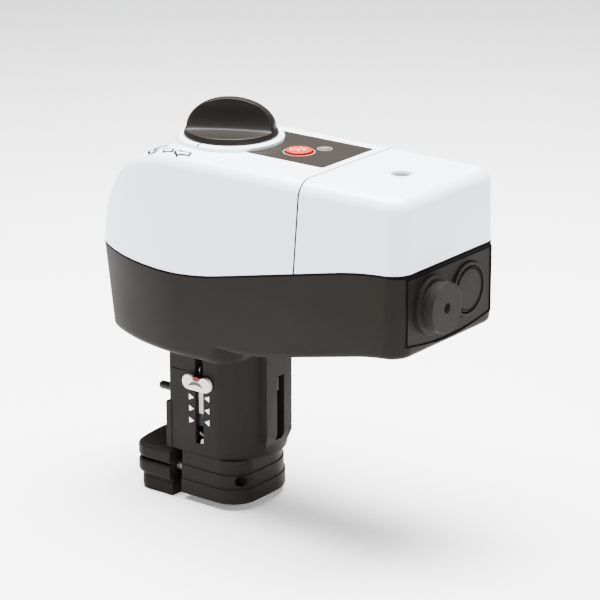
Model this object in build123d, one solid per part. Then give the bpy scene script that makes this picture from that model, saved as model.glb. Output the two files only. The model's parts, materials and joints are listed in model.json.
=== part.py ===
from build123d import *
import os
from math import acos, asin, atan2, cos, degrees, hypot, pi, radians, sin, sqrt, tan

# Electric valve actuator: a drive housing on a neck that clamps to a valve.
# All sizes are in millimetres. The stem axis is Z, the cable entries face +X.
# Z = 0 is the underside of the clamp collar.

# housing, plan view
END_X = 129.0
HALF_W = 40.6
END_CORNER_R = 10.0
SIDE_ARC_X = -2.0
SIDE_ARC_R = 105.0
NOSE_JOIN_DEG = 36.5
WIDEST_Z = 118.4
COVER_DRAFT_DEG = 1.4
BASE_DRAFT_DEG = 1.6
WALL = 2.4
COVER_SEAT_GAP = 0.3
OVER = 1.0
FOUND = 0.1

# housing, side view
COVER_TOP_Z = 177.3
DOME_R = 62.0
DOME_X = -5.0
PART_X = -12.0
PART_END_Z = 141.2
PART_R = 170.0
BELLY_X = 28.8
BELLY_Z = 84.9
BELLY_END_Z = 101.4
BELLY_R = 120.0
NOSE_LEAN_DEG = 13.5
TOP_EDGE_R = 8.0
NOSE_EDGE_R = 9.0
BELLY_EDGE_R = 3.0

# belly pan under the gears
PAN_Z = 76.5
PAN_END_X = 30.0
PAN_CORNER_R = 13.0
PAN_EDGE_R = 4.0

# seam between the main cover and the terminal cover
SEAM_X = 67.2
SEAM_LEAN_DEG = 3.4
SEAM_GAP = 0.3
LAP = 2.0
LAP_CLEARANCE = 0.15

# knob and its ring
RING_R = 25.8
RING_RISE = 2.5
RING_BEVEL = 0.8
RING_MARK_W = 1.0
RING_MARK_DEPTH = 1.4
KNOB_R = 22.6
KNOB_GAP = 0.3
KNOB_H = 19.5
KNOB_RIM_H = 4.6
KNOB_SHOULDER_R = 21.0
KNOB_FLARE_H = 3.4
KNOB_SCOOP_R = 34.0
KNOB_WAIST = 6.0
KNOB_UNDERCUT_R = 17.0
KNOB_UNDERCUT_H = 3.0
KNOB_BOSS_R = 8.0
KNOB_SOCKET_H = 3.6
KNOB_PIN_R = 2.0
KNOB_PIN_H = 12.0
COVER_HOLE_R = 9.5
RING_Z = COVER_TOP_Z + RING_RISE
KNOB_Z = RING_Z + KNOB_GAP
KNOB_TOP_Z = KNOB_Z + KNOB_H

# label panel, button and lamp
PANEL_X = 66.0
PANEL_Y0 = -15.0
PANEL_Y1 = 25.5
PANEL_T = 0.8
PANEL_PROUD = 0.3
PANEL_CLEARANCE = 0.1
PANEL_CORNER_R = 1.5
BUTTON_X = 41.0
BUTTON_R = 6.4
BUTTON_PROUD = 1.2
BUTTON_FLANGE_R = 8.0
BUTTON_FLANGE_H = 1.2
BUTTON_STEM_R = 2.0
BUTTON_CLEARANCE = 0.2
BUTTON_STROKE = 0.8
LAMP_X = 47.5
LAMP_Y = 11.5
LAMP_R = 2.6
LAMP_PROUD = 0.5
LAMP_FLANGE_R = 4.0
LAMP_FLANGE_T = 1.0
LAMP_GAP = 1.0

# captive screw of the terminal cover
CAP_X = 100.4
CAP_RECESS_R = 5.0
CAP_RECESS_DEPTH = 3.2
CAP_HEAD_R = 4.2
CAP_HEAD_H = 2.6
CAP_SHANK_R = 1.9
CAP_DRIVE_W = 1.2
CAP_DRIVE_DEPTH = 1.3
CAP_TUBE_R = 5.4
CAP_ENGAGE = 4.0
CAP_CLEARANCE = 0.3

# cable entries
PLATE_HALF_W = 33.8
PLATE_TOP_Z = 139.4
PLATE_SIDE_Z = 107.4
PLATE_MID_Z = 103.9
PLATE_T = 3.0
PLATE_GAP = 0.2
PLATE_SETBACK = 0.4
PLATE_RAIL_T = 2.0
ENTRY_Z = 123.0
ENTRY_Y = 14.6
ENTRY_HOLE_R = 10.25
GROMMET_FLANGE_R = 13.9
GROMMET_FLANGE_T = 2.6
GROMMET_BODY_R = 11.4
GROMMET_FACE_R = 12.0
GROMMET_CAVITY_R = 8.6
GROMMET_LENGTH = 9.0
GROMMET_BORE_R = 1.6
GROMMET_LIP_R = 12.2
GROMMET_LIP_T = 1.6
GROMMET_SKIN = 1.5
KNOCK_RIM_R = 13.0
KNOCK_RIM_T = 1.3
KNOCK_GROOVE_R = 11.6
KNOCK_GROOVE_W = 1.1
KNOCK_GROOVE_DEPTH = 0.9

# gear train
MODULE = 0.8
PRESSURE_DEG = 20.0
ADDENDUM = 0.85
DEDENDUM = 1.2
BACKLASH = 0.16
DRIVE_TEETH = 60
IDLER_PINION_TEETH = 15
IDLER_WHEEL_TEETH = 45
MOTOR_TEETH = 15
IDLER_DEG = -20.0
MOTOR_DEG = 25.0
GEAR_T = 6.0
WHEEL_T = 5.0
GEAR_RIM = 3.4
GEAR_WEB_T = 3.0
LAYER_GAP = 1.5
PINION_OVERHANG = 0.5
SPOKE_HOLES = 6
SPOKE_HOLE_R = 3.6

# chassis
LOW_PLATE_Z = 106.0
UP_PLATE_Z = 128.0
PLATE_THICK = 2.5
PLATE_X0 = -36.0
PLATE_X1 = 65.0
PLATE_HALF = 27.0
PLATE_R = 6.0
PILLAR_R = 3.0
PILLAR_XY = ((-30.0, 21.5), (59.0, 21.5))
CHASSIS_SCREW_R = 1.5
CHASSIS_HEAD_R = 2.9
CHASSIS_HEAD_H = 2.2
HOLE_CLEARANCE = 0.1
POST_R = 4.5

# drive shaft and spindle
HUB_R = 8.0
HUB_Z = 100.0
HUB_TOP_Z = 134.0
SHAFT_R = 5.0
SPINDLE_R = 5.0
SPINDLE_TOP_Z = 131.0
RUNNING = 0.05
BUSH_T = 2.6
BUSH_FLANGE_R = 12.6
BUSH_FLANGE_T = 1.0
GUIDE_R = 9.0
GUIDE_Z = 72.0
GUIDE_FLANGE_R = 11.5
GUIDE_FLANGE_T = 1.5
WIPER_T = 2.0
WIPER_R = 8.0
STROKE = 20.0

# motor
MOTOR_R = 17.0
MOTOR_H = 20.0
MOTOR_SHAFT_R = 1.5
MOTOR_BOSS_R = 5.0
MOTOR_BOSS_H = 1.6
MOTOR_EAR_X = 20.5
MOTOR_EAR_R = 3.4
MOTOR_EAR_T = 1.6
MOTOR_EDGE_R = 1.5

# neck
NECK_LEFT_X = -19.8
NECK_FRONT_Y = 26.0
NECK_REAR_Y = 24.5
NECK_R = 27.3
NECK_ROUND_Y = -1.0
NECK_WALL = 2.8
NECK_CORNER_R = 1.5
NECK_CAP_T = 3.0
SLOT_X = -0.5
SLOT_HALF = 2.5
SLOT_Z = 27.7
RAIL_X = 29.5
RAIL_Y0 = -10.6
RAIL_Y1 = 9.2
RAIL_Z = 24.5
RAIL_CHAMFER = 3.6
RAIL_CHAMFER_H = 7.5
RAIL_FOOT_R = 8.0
WINDOW_Y0 = -2.6
WINDOW_Y1 = 3.0
WINDOW_Z0 = 29.0
WINDOW_Z1 = 62.6
EAR_OUT = 1.5
EAR_LAP = 1.7
EAR_PROUD = 0.4
EAR_Z1 = 46.0
EAR_W = 4.0
MARK_X = -9.0
MARK_Z = 64.0
MARK_W = 0.5
MARK_DEPTH = 0.4
PIN_Y = -20.0
PIN_Z = 51.0
PIN_R = 2.1
PIN_X = -30.0
PIN_HOLD = 3.0
PIN_END_R = 1.8
NECK_SCREW_XY = 14.0

# clamp collar
COLLAR_TOP_Z = 22.0
COLLAR_STEPS = 3
COLLAR_STEP_OUT = 0.5
COLLAR_X = 23.4
COLLAR_FRONT_Y = 26.2
COLLAR_REAR_Y = 25.0
COLLAR_CORNER_R = 13.0
COLLAR_REAR_R = 23.5
COLLAR_LEFT_X = -11.5
VALVE_NECK_R = 16.5
CLAMP_Y = 20.8
CLAMP_Z = 11.8
CLAMP_SCREW_R = 2.5
CLAMP_HEAD_R = 3.6
CLAMP_HEAD_X = (11.0, 0.0)
CLAMP_HEAD_H = 5.0
CLAMP_KEY_AF = 4.0
CLAMP_KEY_DEPTH = 3.0
HEX_SIDES = 6
CLAMP_KEY_HOLE_R = 2.8
CLAMP_CLEARANCE = 0.1
CLAMP_SCREW_END_X = -33.6

# clamp jaw
JAW_FACE_X = -17.4
JAW_PAD_X = -12.5
JAW_PAD_HALF = 16.5
JAW_BACK_X = -44.0
JAW_HALF = 29.0
JAW_BACK_R = 110.0
JAW_CORNER_R = 9.0
JAW_Z0 = -3.4
JAW_TOP_Z = 21.4
JAW_BANDS = 3
JAW_FOOT_IN = 2.0
JAW_CORE_IN = 2.2
JAW_BAND_GAP = 0.3
JAW_BAND_R = 2.1
JAW_BORE_END_X = -36.0
JAW_NOTCH_X = -27.0
JAW_NOTCH_W = 3.4
JAW_NOTCH_Y = 23.0
JAW_NOTCH_DEPTH = 4.0

# carriage, pointer and strip in the neck
CARRIAGE_Z0 = 54.0
CARRIAGE_Z1 = 66.0
CARRIAGE_R = 11.0
ARM_HALF = 5.0
STRIP_HALF = 3.7
STRIP_T = 1.2
STRIP_BACK = 0.25
STRIP_TOP_Z = 69.0
STRIP_Z = 42.5
STRIP_END_Z = 36.0
STRIP_POCKET_GAP = 1.0
STRIP_SIDE_GAP = 0.4
POINTER_HALF = 1.9
POINTER_H = 3.4
POINTER_Z = 59.8
CLIP_HALF = 8.7
CLIP_LOBE_R = 3.8
CLIP_T = 2.2
CLIP_LIFT = 0.3
CLIP_DROP = 1.3
GUIDE_TONGUE_HALF = 2.0
COUPLING_R = 8.0
COUPLING_Z = 30.0
COUPLING_RIBS = 3
COUPLING_RIB_R = 9.2
COUPLING_RIB_T = 1.6
COUPLING_BORE_R = 3.0
COUPLING_BORE_H = 12.0
SPINDLE_SEAT = 2.0
CHAMFER = 0.5

# electronics
BOARD_T = 1.6
TOP_BOARD_Z = 158.0
TOP_BOARD_X0 = 30.0
TOP_BOARD_X1 = 62.0
TOP_BOARD_HALF = 24.0
BOARD_HANGER_R = 2.6
SWITCH_W = 6.0
SWITCH_H = 3.4
SWITCH_KEY_R = 1.7
SWITCH_KEY_H = 1.0
BOARD_SCREW_HEAD_R = 2.5
LOW_BOARD_Z = 106.0
LOW_BOARD_X0 = 74.0
LOW_BOARD_X1 = 112.0
LOW_BOARD_HALF = 28.0
TERMINAL_POLES = 8
TERMINAL_PITCH = 5.0
TERMINAL_L = 11.0
TERMINAL_H = 12.0
TERMINAL_WIRE_R = 1.6
TERMINAL_X = 83.5
DIP_WAYS = 6
DIP_PITCH = 2.54
DIP_W = 8.0
DIP_H = 4.0
DIP_X = 94.5
DIP_Y = -18.0
DIP_LEVER = 1.2
DIP_LEVER_H = 0.8
DIP_THROW = 1.0
RELAY_SIZE = (10.0, 18.0, 14.0)
RELAY_XY = (98.0, 17.0)
CAP_CAN_R = 6.0
CAP_CAN_L = 14.0
CAP_CAN_XY = (106.0, -21.0)
LIMIT_SIZE = (16.0, 6.0, 9.0)
LIMIT_XY = (-18.0, 15.0)
LIMIT_KEY = (2.0, 3.0, 1.5)


def rod(radius, z0, z1, x=0.0, y=0.0):
    """Upright cylinder between two heights."""
    return Pos(x, y, z0) * extrude(Circle(radius), amount=z1 - z0)


def rod_x(radius, x0, x1, y, z):
    """Cylinder along X between two positions."""
    return Pos(x0, y, z) * Rot(0, 90, 0) * extrude(Circle(radius), amount=x1 - x0)


def block(x0, x1, y0, y1, z0, z1):
    """Box between two corners."""
    box = Box(x1 - x0, y1 - y0, z1 - z0)
    return Pos((x0 + x1) / 2, (y0 + y1) / 2, (z0 + z1) / 2) * box


def upright(face, z0, z1):
    """Plan shape raised between two heights."""
    return Pos(0, 0, z0) * extrude(face, amount=z1 - z0)


def across(face, half):
    """Side-view shape spread to both sides of the middle plane."""
    return extrude(Plane.XZ * face, amount=half, both=True)


def s_curve(x0, z0, x1, z1, radius):
    """Two equal arcs joined by their common tangent, level at both ends."""
    dx = x1 - x0
    dz = z1 - z0 - 2 * radius
    angle = asin(2 * radius / hypot(dx, dz)) - atan2(-dz, dx)
    turn = degrees(angle)
    p0 = (x0 + radius * sin(angle), z0 + radius * (1 - cos(angle)))
    p1 = (x1 - radius * sin(angle), z1 - radius * (1 - cos(angle)))
    first = CenterArc((x0, z0 + radius), radius, 270, turn)
    last = CenterArc((x1, z1 - radius), radius, 90, turn)
    return [first, Line(p0, p1), last]


def plan_face(inset):
    """Housing outline seen from above, moved inwards all round."""
    turn = radians(NOSE_JOIN_DEG)
    centre_y = SIDE_ARC_R - HALF_W
    join_y = SIDE_ARC_R * cos(turn) - centre_y
    nose_r = join_y / cos(turn)
    nose_x = SIDE_ARC_X - (SIDE_ARC_R - nose_r) * sin(turn)
    half = HALF_W - inset
    side_r = SIDE_ARC_R - inset
    corner_x = END_X - END_CORNER_R
    corner_y = HALF_W - END_CORNER_R
    corner_r = END_CORNER_R - inset
    end_x = END_X - inset
    edges = [
        Line((SIDE_ARC_X, -half), (corner_x, -half)),
        CenterArc((corner_x, -corner_y), corner_r, 270, 90),
        Line((end_x, -corner_y), (end_x, corner_y)),
        CenterArc((corner_x, corner_y), corner_r, 0, 90),
        Line((corner_x, half), (SIDE_ARC_X, half)),
        CenterArc((SIDE_ARC_X, -centre_y), side_r, 90, NOSE_JOIN_DEG),
        CenterArc((nose_x, 0), nose_r - inset, 90 + NOSE_JOIN_DEG, 180 - 2 * NOSE_JOIN_DEG),
        CenterArc((SIDE_ARC_X, centre_y), side_r, 270 - NOSE_JOIN_DEG, NOSE_JOIN_DEG),
    ]
    return make_face(edges)


def upper_form(inset):
    """Housing form above its widest line, with the domed end and round edges."""
    top_z = COVER_TOP_Z - inset
    prism = extrude(plan_face(inset), amount=top_z - WIDEST_Z, taper=COVER_DRAFT_DEG)
    prism = Pos(0, 0, WIDEST_Z) * prism
    dome_r = DOME_R - inset
    dome_z = COVER_TOP_Z - DOME_R
    profile = make_face([
        CenterArc((DOME_X, dome_z), dome_r, 90, 90),
        Line((DOME_X - dome_r, dome_z), (END_X + WALL, dome_z)),
        Line((END_X + WALL, dome_z), (END_X + WALL, top_z)),
        Line((END_X + WALL, top_z), (DOME_X, top_z)),
    ])
    form = prism & across(profile, HALF_W * 2)
    dome = form.faces().filter_by(GeomType.CYLINDER).sort_by(SortBy.AREA)[-1]
    top = form.faces().filter_by(Axis.Z).sort_by(Axis.Z)[-1]
    rims = [e for f in (dome, top) for e in f.edges()]
    rims = [e for e in rims if abs((e % 0.5).Y) < sqrt(0.5) or e.center().X > DOME_X + OVER]
    rims = [e for e in rims if e.center().Z > WIDEST_Z + OVER]
    return fillet(rims, TOP_EDGE_R - inset)


def tray_plan(inset, nose_x, end_x, corner_r):
    """Tray outline seen from above, with a flat rounded nose."""
    centre_y = SIDE_ARC_R - HALF_W
    half = HALF_W - inset
    side_r = SIDE_ARC_R - inset
    turn = degrees(asin((SIDE_ARC_X - nose_x) / side_r))
    nose_y = side_r * cos(radians(turn)) - centre_y
    corner_x = end_x - corner_r
    corner_y = half - corner_r
    face = make_face([
        Line((SIDE_ARC_X, -half), (corner_x, -half)),
        CenterArc((corner_x, -corner_y), corner_r, 270, 90),
        Line((end_x, -corner_y), (end_x, corner_y)),
        CenterArc((corner_x, corner_y), corner_r, 0, 90),
        Line((corner_x, half), (SIDE_ARC_X, half)),
        CenterArc((SIDE_ARC_X, -centre_y), side_r, 90, turn),
        Line((nose_x, nose_y), (nose_x, -nose_y)),
        CenterArc((SIDE_ARC_X, centre_y), side_r, 270 - turn, turn),
    ])
    nose = face.vertices().group_by(Axis.X)[0]
    return fillet(nose, NOSE_EDGE_R)


def tray_prism(inset, end_x, corner_r, low_z):
    """Tapered block of the tray from its widest line down to a level."""
    depth = WIDEST_Z - low_z
    nose_x = DOME_X - DOME_R + inset
    lean = depth * tan(radians(NOSE_LEAN_DEG))
    draft = depth * tan(radians(BASE_DRAFT_DEG))
    top = tray_plan(inset, nose_x, end_x - inset, corner_r - inset)
    low = tray_plan(inset + draft, nose_x + lean, end_x - inset - draft, corner_r - inset)
    return loft([Pos(0, 0, low_z) * low, Pos(0, 0, WIDEST_Z) * top], ruled=True)


def belly_face(inset):
    """Side view of the tray: level belly and its rise to the entries."""
    z0 = BELLY_Z + inset
    z1 = BELLY_END_Z + inset
    near = DOME_X - 2 * DOME_R
    far = END_X + WALL
    edges = [Line((near, WIDEST_Z), (near, z0)), Line((near, z0), (BELLY_X, z0))]
    edges += s_curve(BELLY_X, z0, END_X, z1, BELLY_R)
    edges += [
        Line((END_X, z1), (far, z1)),
        Line((far, z1), (far, WIDEST_Z)),
        Line((far, WIDEST_Z), (near, WIDEST_Z)),
    ]
    return make_face(edges)


def lower_form(inset):
    """Housing form below its widest line: long tray joined to the deeper pan."""
    tray = tray_prism(inset, END_X, END_CORNER_R, PAN_Z + inset)
    tray = tray & across(belly_face(inset), HALF_W * 2)
    pan = tray_prism(inset, PAN_END_X, PAN_CORNER_R, PAN_Z + inset)
    if inset == 0:
        low = [e for e in tray.edges() if e.center().Z < BELLY_END_Z + BELLY_EDGE_R]
        low = [e for e in low if e.center().X > BELLY_X]
        low = [e for e in low if abs(e.center().Y) > BELLY_EDGE_R or e.center().X > END_X - END_CORNER_R]
        low = [e for e in low if e.bounding_box().size.Z < (BELLY_END_Z - BELLY_Z)]
        tray = fillet(low, BELLY_EDGE_R)
        pan = fillet(pan.edges().group_by(Axis.Z)[0], PAN_EDGE_R)
    return tray + pan


def band_form(inset):
    """Strip of wall between the widest line and the rising parting line."""
    prism = extrude(plan_face(inset), amount=PART_END_Z + WALL - WIDEST_Z, taper=COVER_DRAFT_DEG)
    prism = Pos(0, 0, WIDEST_Z) * prism
    far = END_X + WALL
    edges = s_curve(PART_X, WIDEST_Z, END_X, PART_END_Z, PART_R)
    edges += [
        Line((END_X, PART_END_Z), (far, PART_END_Z)),
        Line((far, PART_END_Z), (far, WIDEST_Z)),
        Line((far, WIDEST_Z), (PART_X, WIDEST_Z)),
    ]
    return prism & across(make_face(edges), HALF_W * 2)


def part_region(gap, low_z):
    """Everything below the parting line, raised by a gap."""
    near = DOME_X - 2 * DOME_R
    far = END_X + WALL
    level = WIDEST_Z + gap
    end = PART_END_Z + gap
    edges = [Line((near, level), (PART_X, level))]
    edges += s_curve(PART_X, level, END_X, end, PART_R)
    edges += [
        Line((END_X, end), (far, end)),
        Line((far, end), (far, low_z)),
        Line((far, low_z), (near, low_z)),
        Line((near, low_z), (near, level)),
    ]
    return across(make_face(edges), HALF_W * 2)


def seam_x(z):
    """X of the seam between the covers at a height."""
    return SEAM_X + (z - WIDEST_Z) * tan(radians(SEAM_LEAN_DEG))


def seam_side(start, z0, z1):
    """Everything beyond the seam, on the terminal side, from an offset."""
    far = END_X + WALL
    face = make_face(Polyline(
        (seam_x(z0) + start, z0), (far, z0), (far, z1), (seam_x(z1) + start, z1), close=True
    ))
    return across(face, HALF_W * 2)


def covers():
    """The whole cover, shelled and cut along the seam into its two pieces."""
    low_z = WIDEST_Z - WALL
    high_z = COVER_TOP_Z + WALL
    outer = upper_form(0)
    shell = outer - upper_form(WALL) - part_region(COVER_SEAT_GAP, low_z)
    lap_ring = upper_form(WALL + LAP_CLEARANCE) - upper_form(WALL + LAP_CLEARANCE + LAP)
    lap = lap_ring & seam_side(-LAP, low_z, high_z)
    lap = lap - seam_side(LAP, low_z, high_z) - part_region(COVER_SEAT_GAP + LAP, low_z)
    bridge_ring = upper_form(WALL) - upper_form(WALL + LAP)
    bridge = (bridge_ring & seam_side(-2 * LAP, low_z, high_z)) - seam_side(-LAP / 2, low_z, high_z)
    bridge = bridge - part_region(COVER_SEAT_GAP + LAP, low_z)
    main = shell - seam_side(0, low_z, high_z)
    main = main + bridge + (lap - seam_side(LAP, low_z, high_z))
    terminal = shell & seam_side(SEAM_GAP, low_z, high_z)
    return main, terminal


def panel_face(clearance):
    """Plan of the label panel, grown or shrunk by a clearance."""
    x1 = PANEL_X + clearance
    y0 = PANEL_Y0 - clearance
    y1 = PANEL_Y1 + clearance
    plan = Pos(x1 / 2, (y0 + y1) / 2) * Rectangle(x1, y1 - y0)
    plan = fillet(plan.vertices().group_by(Axis.X)[-1], PANEL_CORNER_R)
    return plan - Circle(RING_R - clearance)


def main_cover(blank):
    """Main cover with the knob ring, panel recess, button hole and board hangers."""
    skin_z = COVER_TOP_Z - WALL
    ring = upright(Circle(RING_R), skin_z - DOME_R / 8, RING_Z)
    ring = chamfer(ring.edges().group_by(Axis.Z)[-1], RING_BEVEL)
    mark = RING_MARK_W / 2
    ring = ring - block(-mark, mark, -2 * RING_R, -KNOB_R, RING_Z - RING_MARK_DEPTH, RING_Z + OVER)
    ring = ring & (upper_form(0) + rod(RING_R, COVER_TOP_Z - DOME_R / 4, RING_Z))
    body = blank + ring
    body = body - rod(RING_R - WALL, WIDEST_Z, skin_z - DOME_R / 8 + WALL)
    body = body - rod(COVER_HOLE_R, WIDEST_Z, RING_Z + OVER)
    recess = upright(panel_face(PANEL_CLEARANCE), COVER_TOP_Z - PANEL_T + PANEL_PROUD, COVER_TOP_Z + OVER)
    body = body - recess
    body = body - rod(BUTTON_R + BUTTON_CLEARANCE, skin_z - OVER, COVER_TOP_Z + OVER, BUTTON_X)
    body = body - rod(LAMP_R + BUTTON_CLEARANCE, skin_z - OVER, COVER_TOP_Z + OVER, LAMP_X, LAMP_Y)
    board_top = TOP_BOARD_Z + BOARD_T
    for x, y in hanger_points():
        body = body + rod(BOARD_HANGER_R, board_top, skin_z, x, y)
        body = body - rod(CHASSIS_SCREW_R - HOLE_CLEARANCE, board_top, skin_z - OVER, x, y)
    return body


def hanger_points():
    """Where the top board hangs from the cover."""
    inset = BOARD_HANGER_R + OVER
    xs = (TOP_BOARD_X0 + inset, TOP_BOARD_X1 - inset)
    ys = (-TOP_BOARD_HALF + inset, TOP_BOARD_HALF - inset)
    return [(x, y) for x in xs for y in ys]


def terminal_cover(blank):
    """Terminal cover with the recess and the tube of its captive screw."""
    skin_z = COVER_TOP_Z - WALL
    floor = COVER_TOP_Z - CAP_RECESS_DEPTH
    body = blank + rod(CAP_TUBE_R + OVER, floor - WALL, skin_z, CAP_X)
    body = body + rod(CAP_TUBE_R, cap_post_z() + SEAM_GAP, skin_z, CAP_X)
    body = body - rod(CAP_RECESS_R, floor, COVER_TOP_Z + OVER, CAP_X)
    body = body - rod(CAP_SHANK_R + CAP_CLEARANCE, WIDEST_Z, COVER_TOP_Z, CAP_X)
    return body


def cap_post_z():
    """Top of the tray's post that takes the captive screw."""
    return PART_END_Z + WALL


def terminal_cover_screw():
    """Captive screw with a slotted head."""
    floor = COVER_TOP_Z - CAP_RECESS_DEPTH
    top = floor + CAP_HEAD_H
    head = chamfer(rod(CAP_HEAD_R, floor, top).edges().group_by(Axis.Z)[-1], CHAMFER)
    half = CAP_DRIVE_W / 2
    head = head - block(-CAP_HEAD_R, CAP_HEAD_R, -half, half, top - CAP_DRIVE_DEPTH, top)
    shank = rod(CAP_SHANK_R, cap_post_z() - CAP_ENGAGE, floor)
    return Pos(CAP_X, 0, 0) * (head + shank)


def entry_plate_face(clearance):
    """End view of the cable entry plate: straight top, bowed underside."""
    half = PLATE_HALF_W - clearance
    top = PLATE_TOP_Z - clearance
    side = PLATE_SIDE_Z + clearance
    mid = PLATE_MID_Z + clearance
    face = make_face([
        Line((-half, side), (-half, top)),
        Line((-half, top), (half, top)),
        Line((half, top), (half, side)),
        ThreePointArc((half, side), (0, mid), (-half, side)),
    ])
    return fillet(face.vertices(), PANEL_CORNER_R)


def end_wall_x():
    """Outer X of the end wall at the cable entries."""
    draft = (WIDEST_Z - PLATE_MID_Z) * tan(radians(BASE_DRAFT_DEG))
    return END_X - draft - PLATE_SETBACK


def towards_end(face, x0, x1):
    """End-view shape extruded along X between two positions."""
    return Pos(x0, 0, 0) * extrude(Plane.YZ * face, amount=x1 - x0)


def base_housing():
    """Moulded tray with its posts, bearing seat, end window and plate rails."""
    outer = lower_form(0) + band_form(0)
    cavity = lower_form(WALL) + band_form(WALL)
    body = outer - cavity
    plate_x = end_wall_x()
    window = towards_end(entry_plate_face(0), plate_x - PLATE_T - PLATE_GAP, END_X + OVER)
    rim = entry_plate_face(-PLATE_RAIL_T) - entry_plate_face(PLATE_RAIL_T)
    rails = towards_end(rim, plate_x - PLATE_T - PLATE_RAIL_T, END_X) & outer
    body = body + rails - window
    body = body - towards_end(entry_plate_face(PLATE_RAIL_T), plate_x - 2 * PLATE_T, END_X + OVER)
    for x, y in pillar_points():
        body = body + (rod(POST_R, PAN_Z, LOW_PLATE_Z, x, y) & outer)
        body = body - rod(CHASSIS_SCREW_R, LOW_PLATE_Z - POST_R, LOW_PLATE_Z + OVER, x, y)
    body = body - rod(GUIDE_R, PAN_Z - OVER, PAN_Z + WALL + OVER)
    for x, y in neck_screw_points():
        body = body - rod(CHASSIS_SCREW_R + HOLE_CLEARANCE, PAN_Z - OVER, PAN_Z + WALL + OVER, x, y)
    for x, y in low_board_points():
        body = body + (rod(POST_R - OVER, BELLY_Z, LOW_BOARD_Z, x, y) & outer)
    above = block(0, END_X - 2 * WALL, -HALF_W / 2, HALF_W / 2, WIDEST_Z, COVER_TOP_Z)
    post = rod(CAP_TUBE_R, BELLY_Z, cap_post_z(), CAP_X) & (outer + above)
    hole = rod(CAP_SHANK_R + CAP_CLEARANCE, cap_post_z() - 2 * CAP_ENGAGE, cap_post_z() + OVER, CAP_X)
    body = body + post - hole
    return body


def pillar_points():
    """Chassis post positions, mirrored to both sides."""
    return [(x, side * y) for x, y in PILLAR_XY for side in (-1, 1)]


def low_board_points():
    """Posts under the corners of the terminal board."""
    inset = POST_R
    xs = (LOW_BOARD_X0 + inset, LOW_BOARD_X1 - inset)
    return [(x, side * (LOW_BOARD_HALF - inset)) for x in xs for side in (-1, 1)]


def neck_screw_points():
    """Screws that hold the neck under the pan, set square around the stem."""
    return [(a * NECK_SCREW_XY, b * NECK_SCREW_XY) for a in (-1, 1) for b in (-1, 1)]


def label_panel():
    """Inlaid panel beside the knob with holes for the button and the lamp."""
    low = COVER_TOP_Z - PANEL_T + PANEL_PROUD
    top = COVER_TOP_Z + PANEL_PROUD
    body = upright(panel_face(0), low, top)
    body = body - rod(BUTTON_R + BUTTON_CLEARANCE, low - OVER, top + OVER, BUTTON_X)
    return body - rod(LAMP_R + BUTTON_CLEARANCE, low - OVER, top + OVER, LAMP_X, LAMP_Y)


def button():
    """Round push button: cap, flange that stops it under the skin, and stem."""
    top = COVER_TOP_Z + PANEL_PROUD + BUTTON_PROUD
    flange_top = COVER_TOP_Z - WALL - RUNNING
    cap = rod(BUTTON_R, flange_top - BUTTON_FLANGE_H, top)
    cap = fillet(cap.edges().group_by(Axis.Z)[-1], CHAMFER)
    flange = rod(BUTTON_FLANGE_R, flange_top - BUTTON_FLANGE_H, flange_top)
    stem = rod(BUTTON_STEM_R, switch_top() + BUTTON_CLEARANCE / 2, flange_top - BUTTON_FLANGE_H)
    return Pos(BUTTON_X, 0, 0) * (cap + flange + stem)


def switch_top():
    """Top of the key of the switch under the button."""
    return TOP_BOARD_Z + BOARD_T + SWITCH_H + SWITCH_KEY_H


def light_pipe():
    """Clear pipe from the board lamp to the top, with a shoulder below the skin."""
    flange_top = COVER_TOP_Z - WALL
    pipe = rod(LAMP_R, TOP_BOARD_Z + BOARD_T + LAMP_GAP, COVER_TOP_Z + PANEL_PROUD + LAMP_PROUD)
    pipe = fillet(pipe.edges().group_by(Axis.Z)[-1], CHAMFER)
    return Pos(LAMP_X, LAMP_Y, 0) * (pipe + rod(LAMP_FLANGE_R, flange_top - LAMP_FLANGE_T, flange_top))


def knob():
    """Hand knob: low rim under a dome, hollowed on both sides to leave a waisted grip."""
    shoulder_z = KNOB_Z + KNOB_RIM_H
    rise = KNOB_TOP_Z - shoulder_z
    crown_r = (KNOB_SHOULDER_R ** 2 + rise ** 2) / (2 * rise)
    rim = rod(KNOB_R, KNOB_Z, shoulder_z)
    rim = chamfer(rim.edges().group_by(Axis.Z)[-1], KNOB_FLARE_H, KNOB_R - KNOB_SHOULDER_R)
    rim = chamfer(rim.edges().group_by(Axis.Z)[0], CHAMFER)
    dome = Pos(0, 0, KNOB_TOP_Z - crown_r) * Sphere(crown_r)
    dome = dome & rod(KNOB_SHOULDER_R, shoulder_z, KNOB_TOP_Z + OVER)
    for side in (-1, 1):
        centre = side * (KNOB_WAIST / 2 + KNOB_SCOOP_R)
        dome = dome - rod(KNOB_SCOOP_R, shoulder_z - OVER, KNOB_TOP_Z + OVER, 0, centre)
    body = rim + dome
    hollow = rod(KNOB_UNDERCUT_R, KNOB_Z - OVER, KNOB_Z + KNOB_UNDERCUT_H)
    body = body - (hollow - rod(KNOB_BOSS_R, KNOB_Z - OVER, KNOB_Z + KNOB_UNDERCUT_H))
    body = body - rod(SHAFT_R, KNOB_Z - OVER, KNOB_Z + KNOB_SOCKET_H)
    return body - rod(KNOB_PIN_R, KNOB_Z, KNOB_Z + KNOB_PIN_H)


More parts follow.
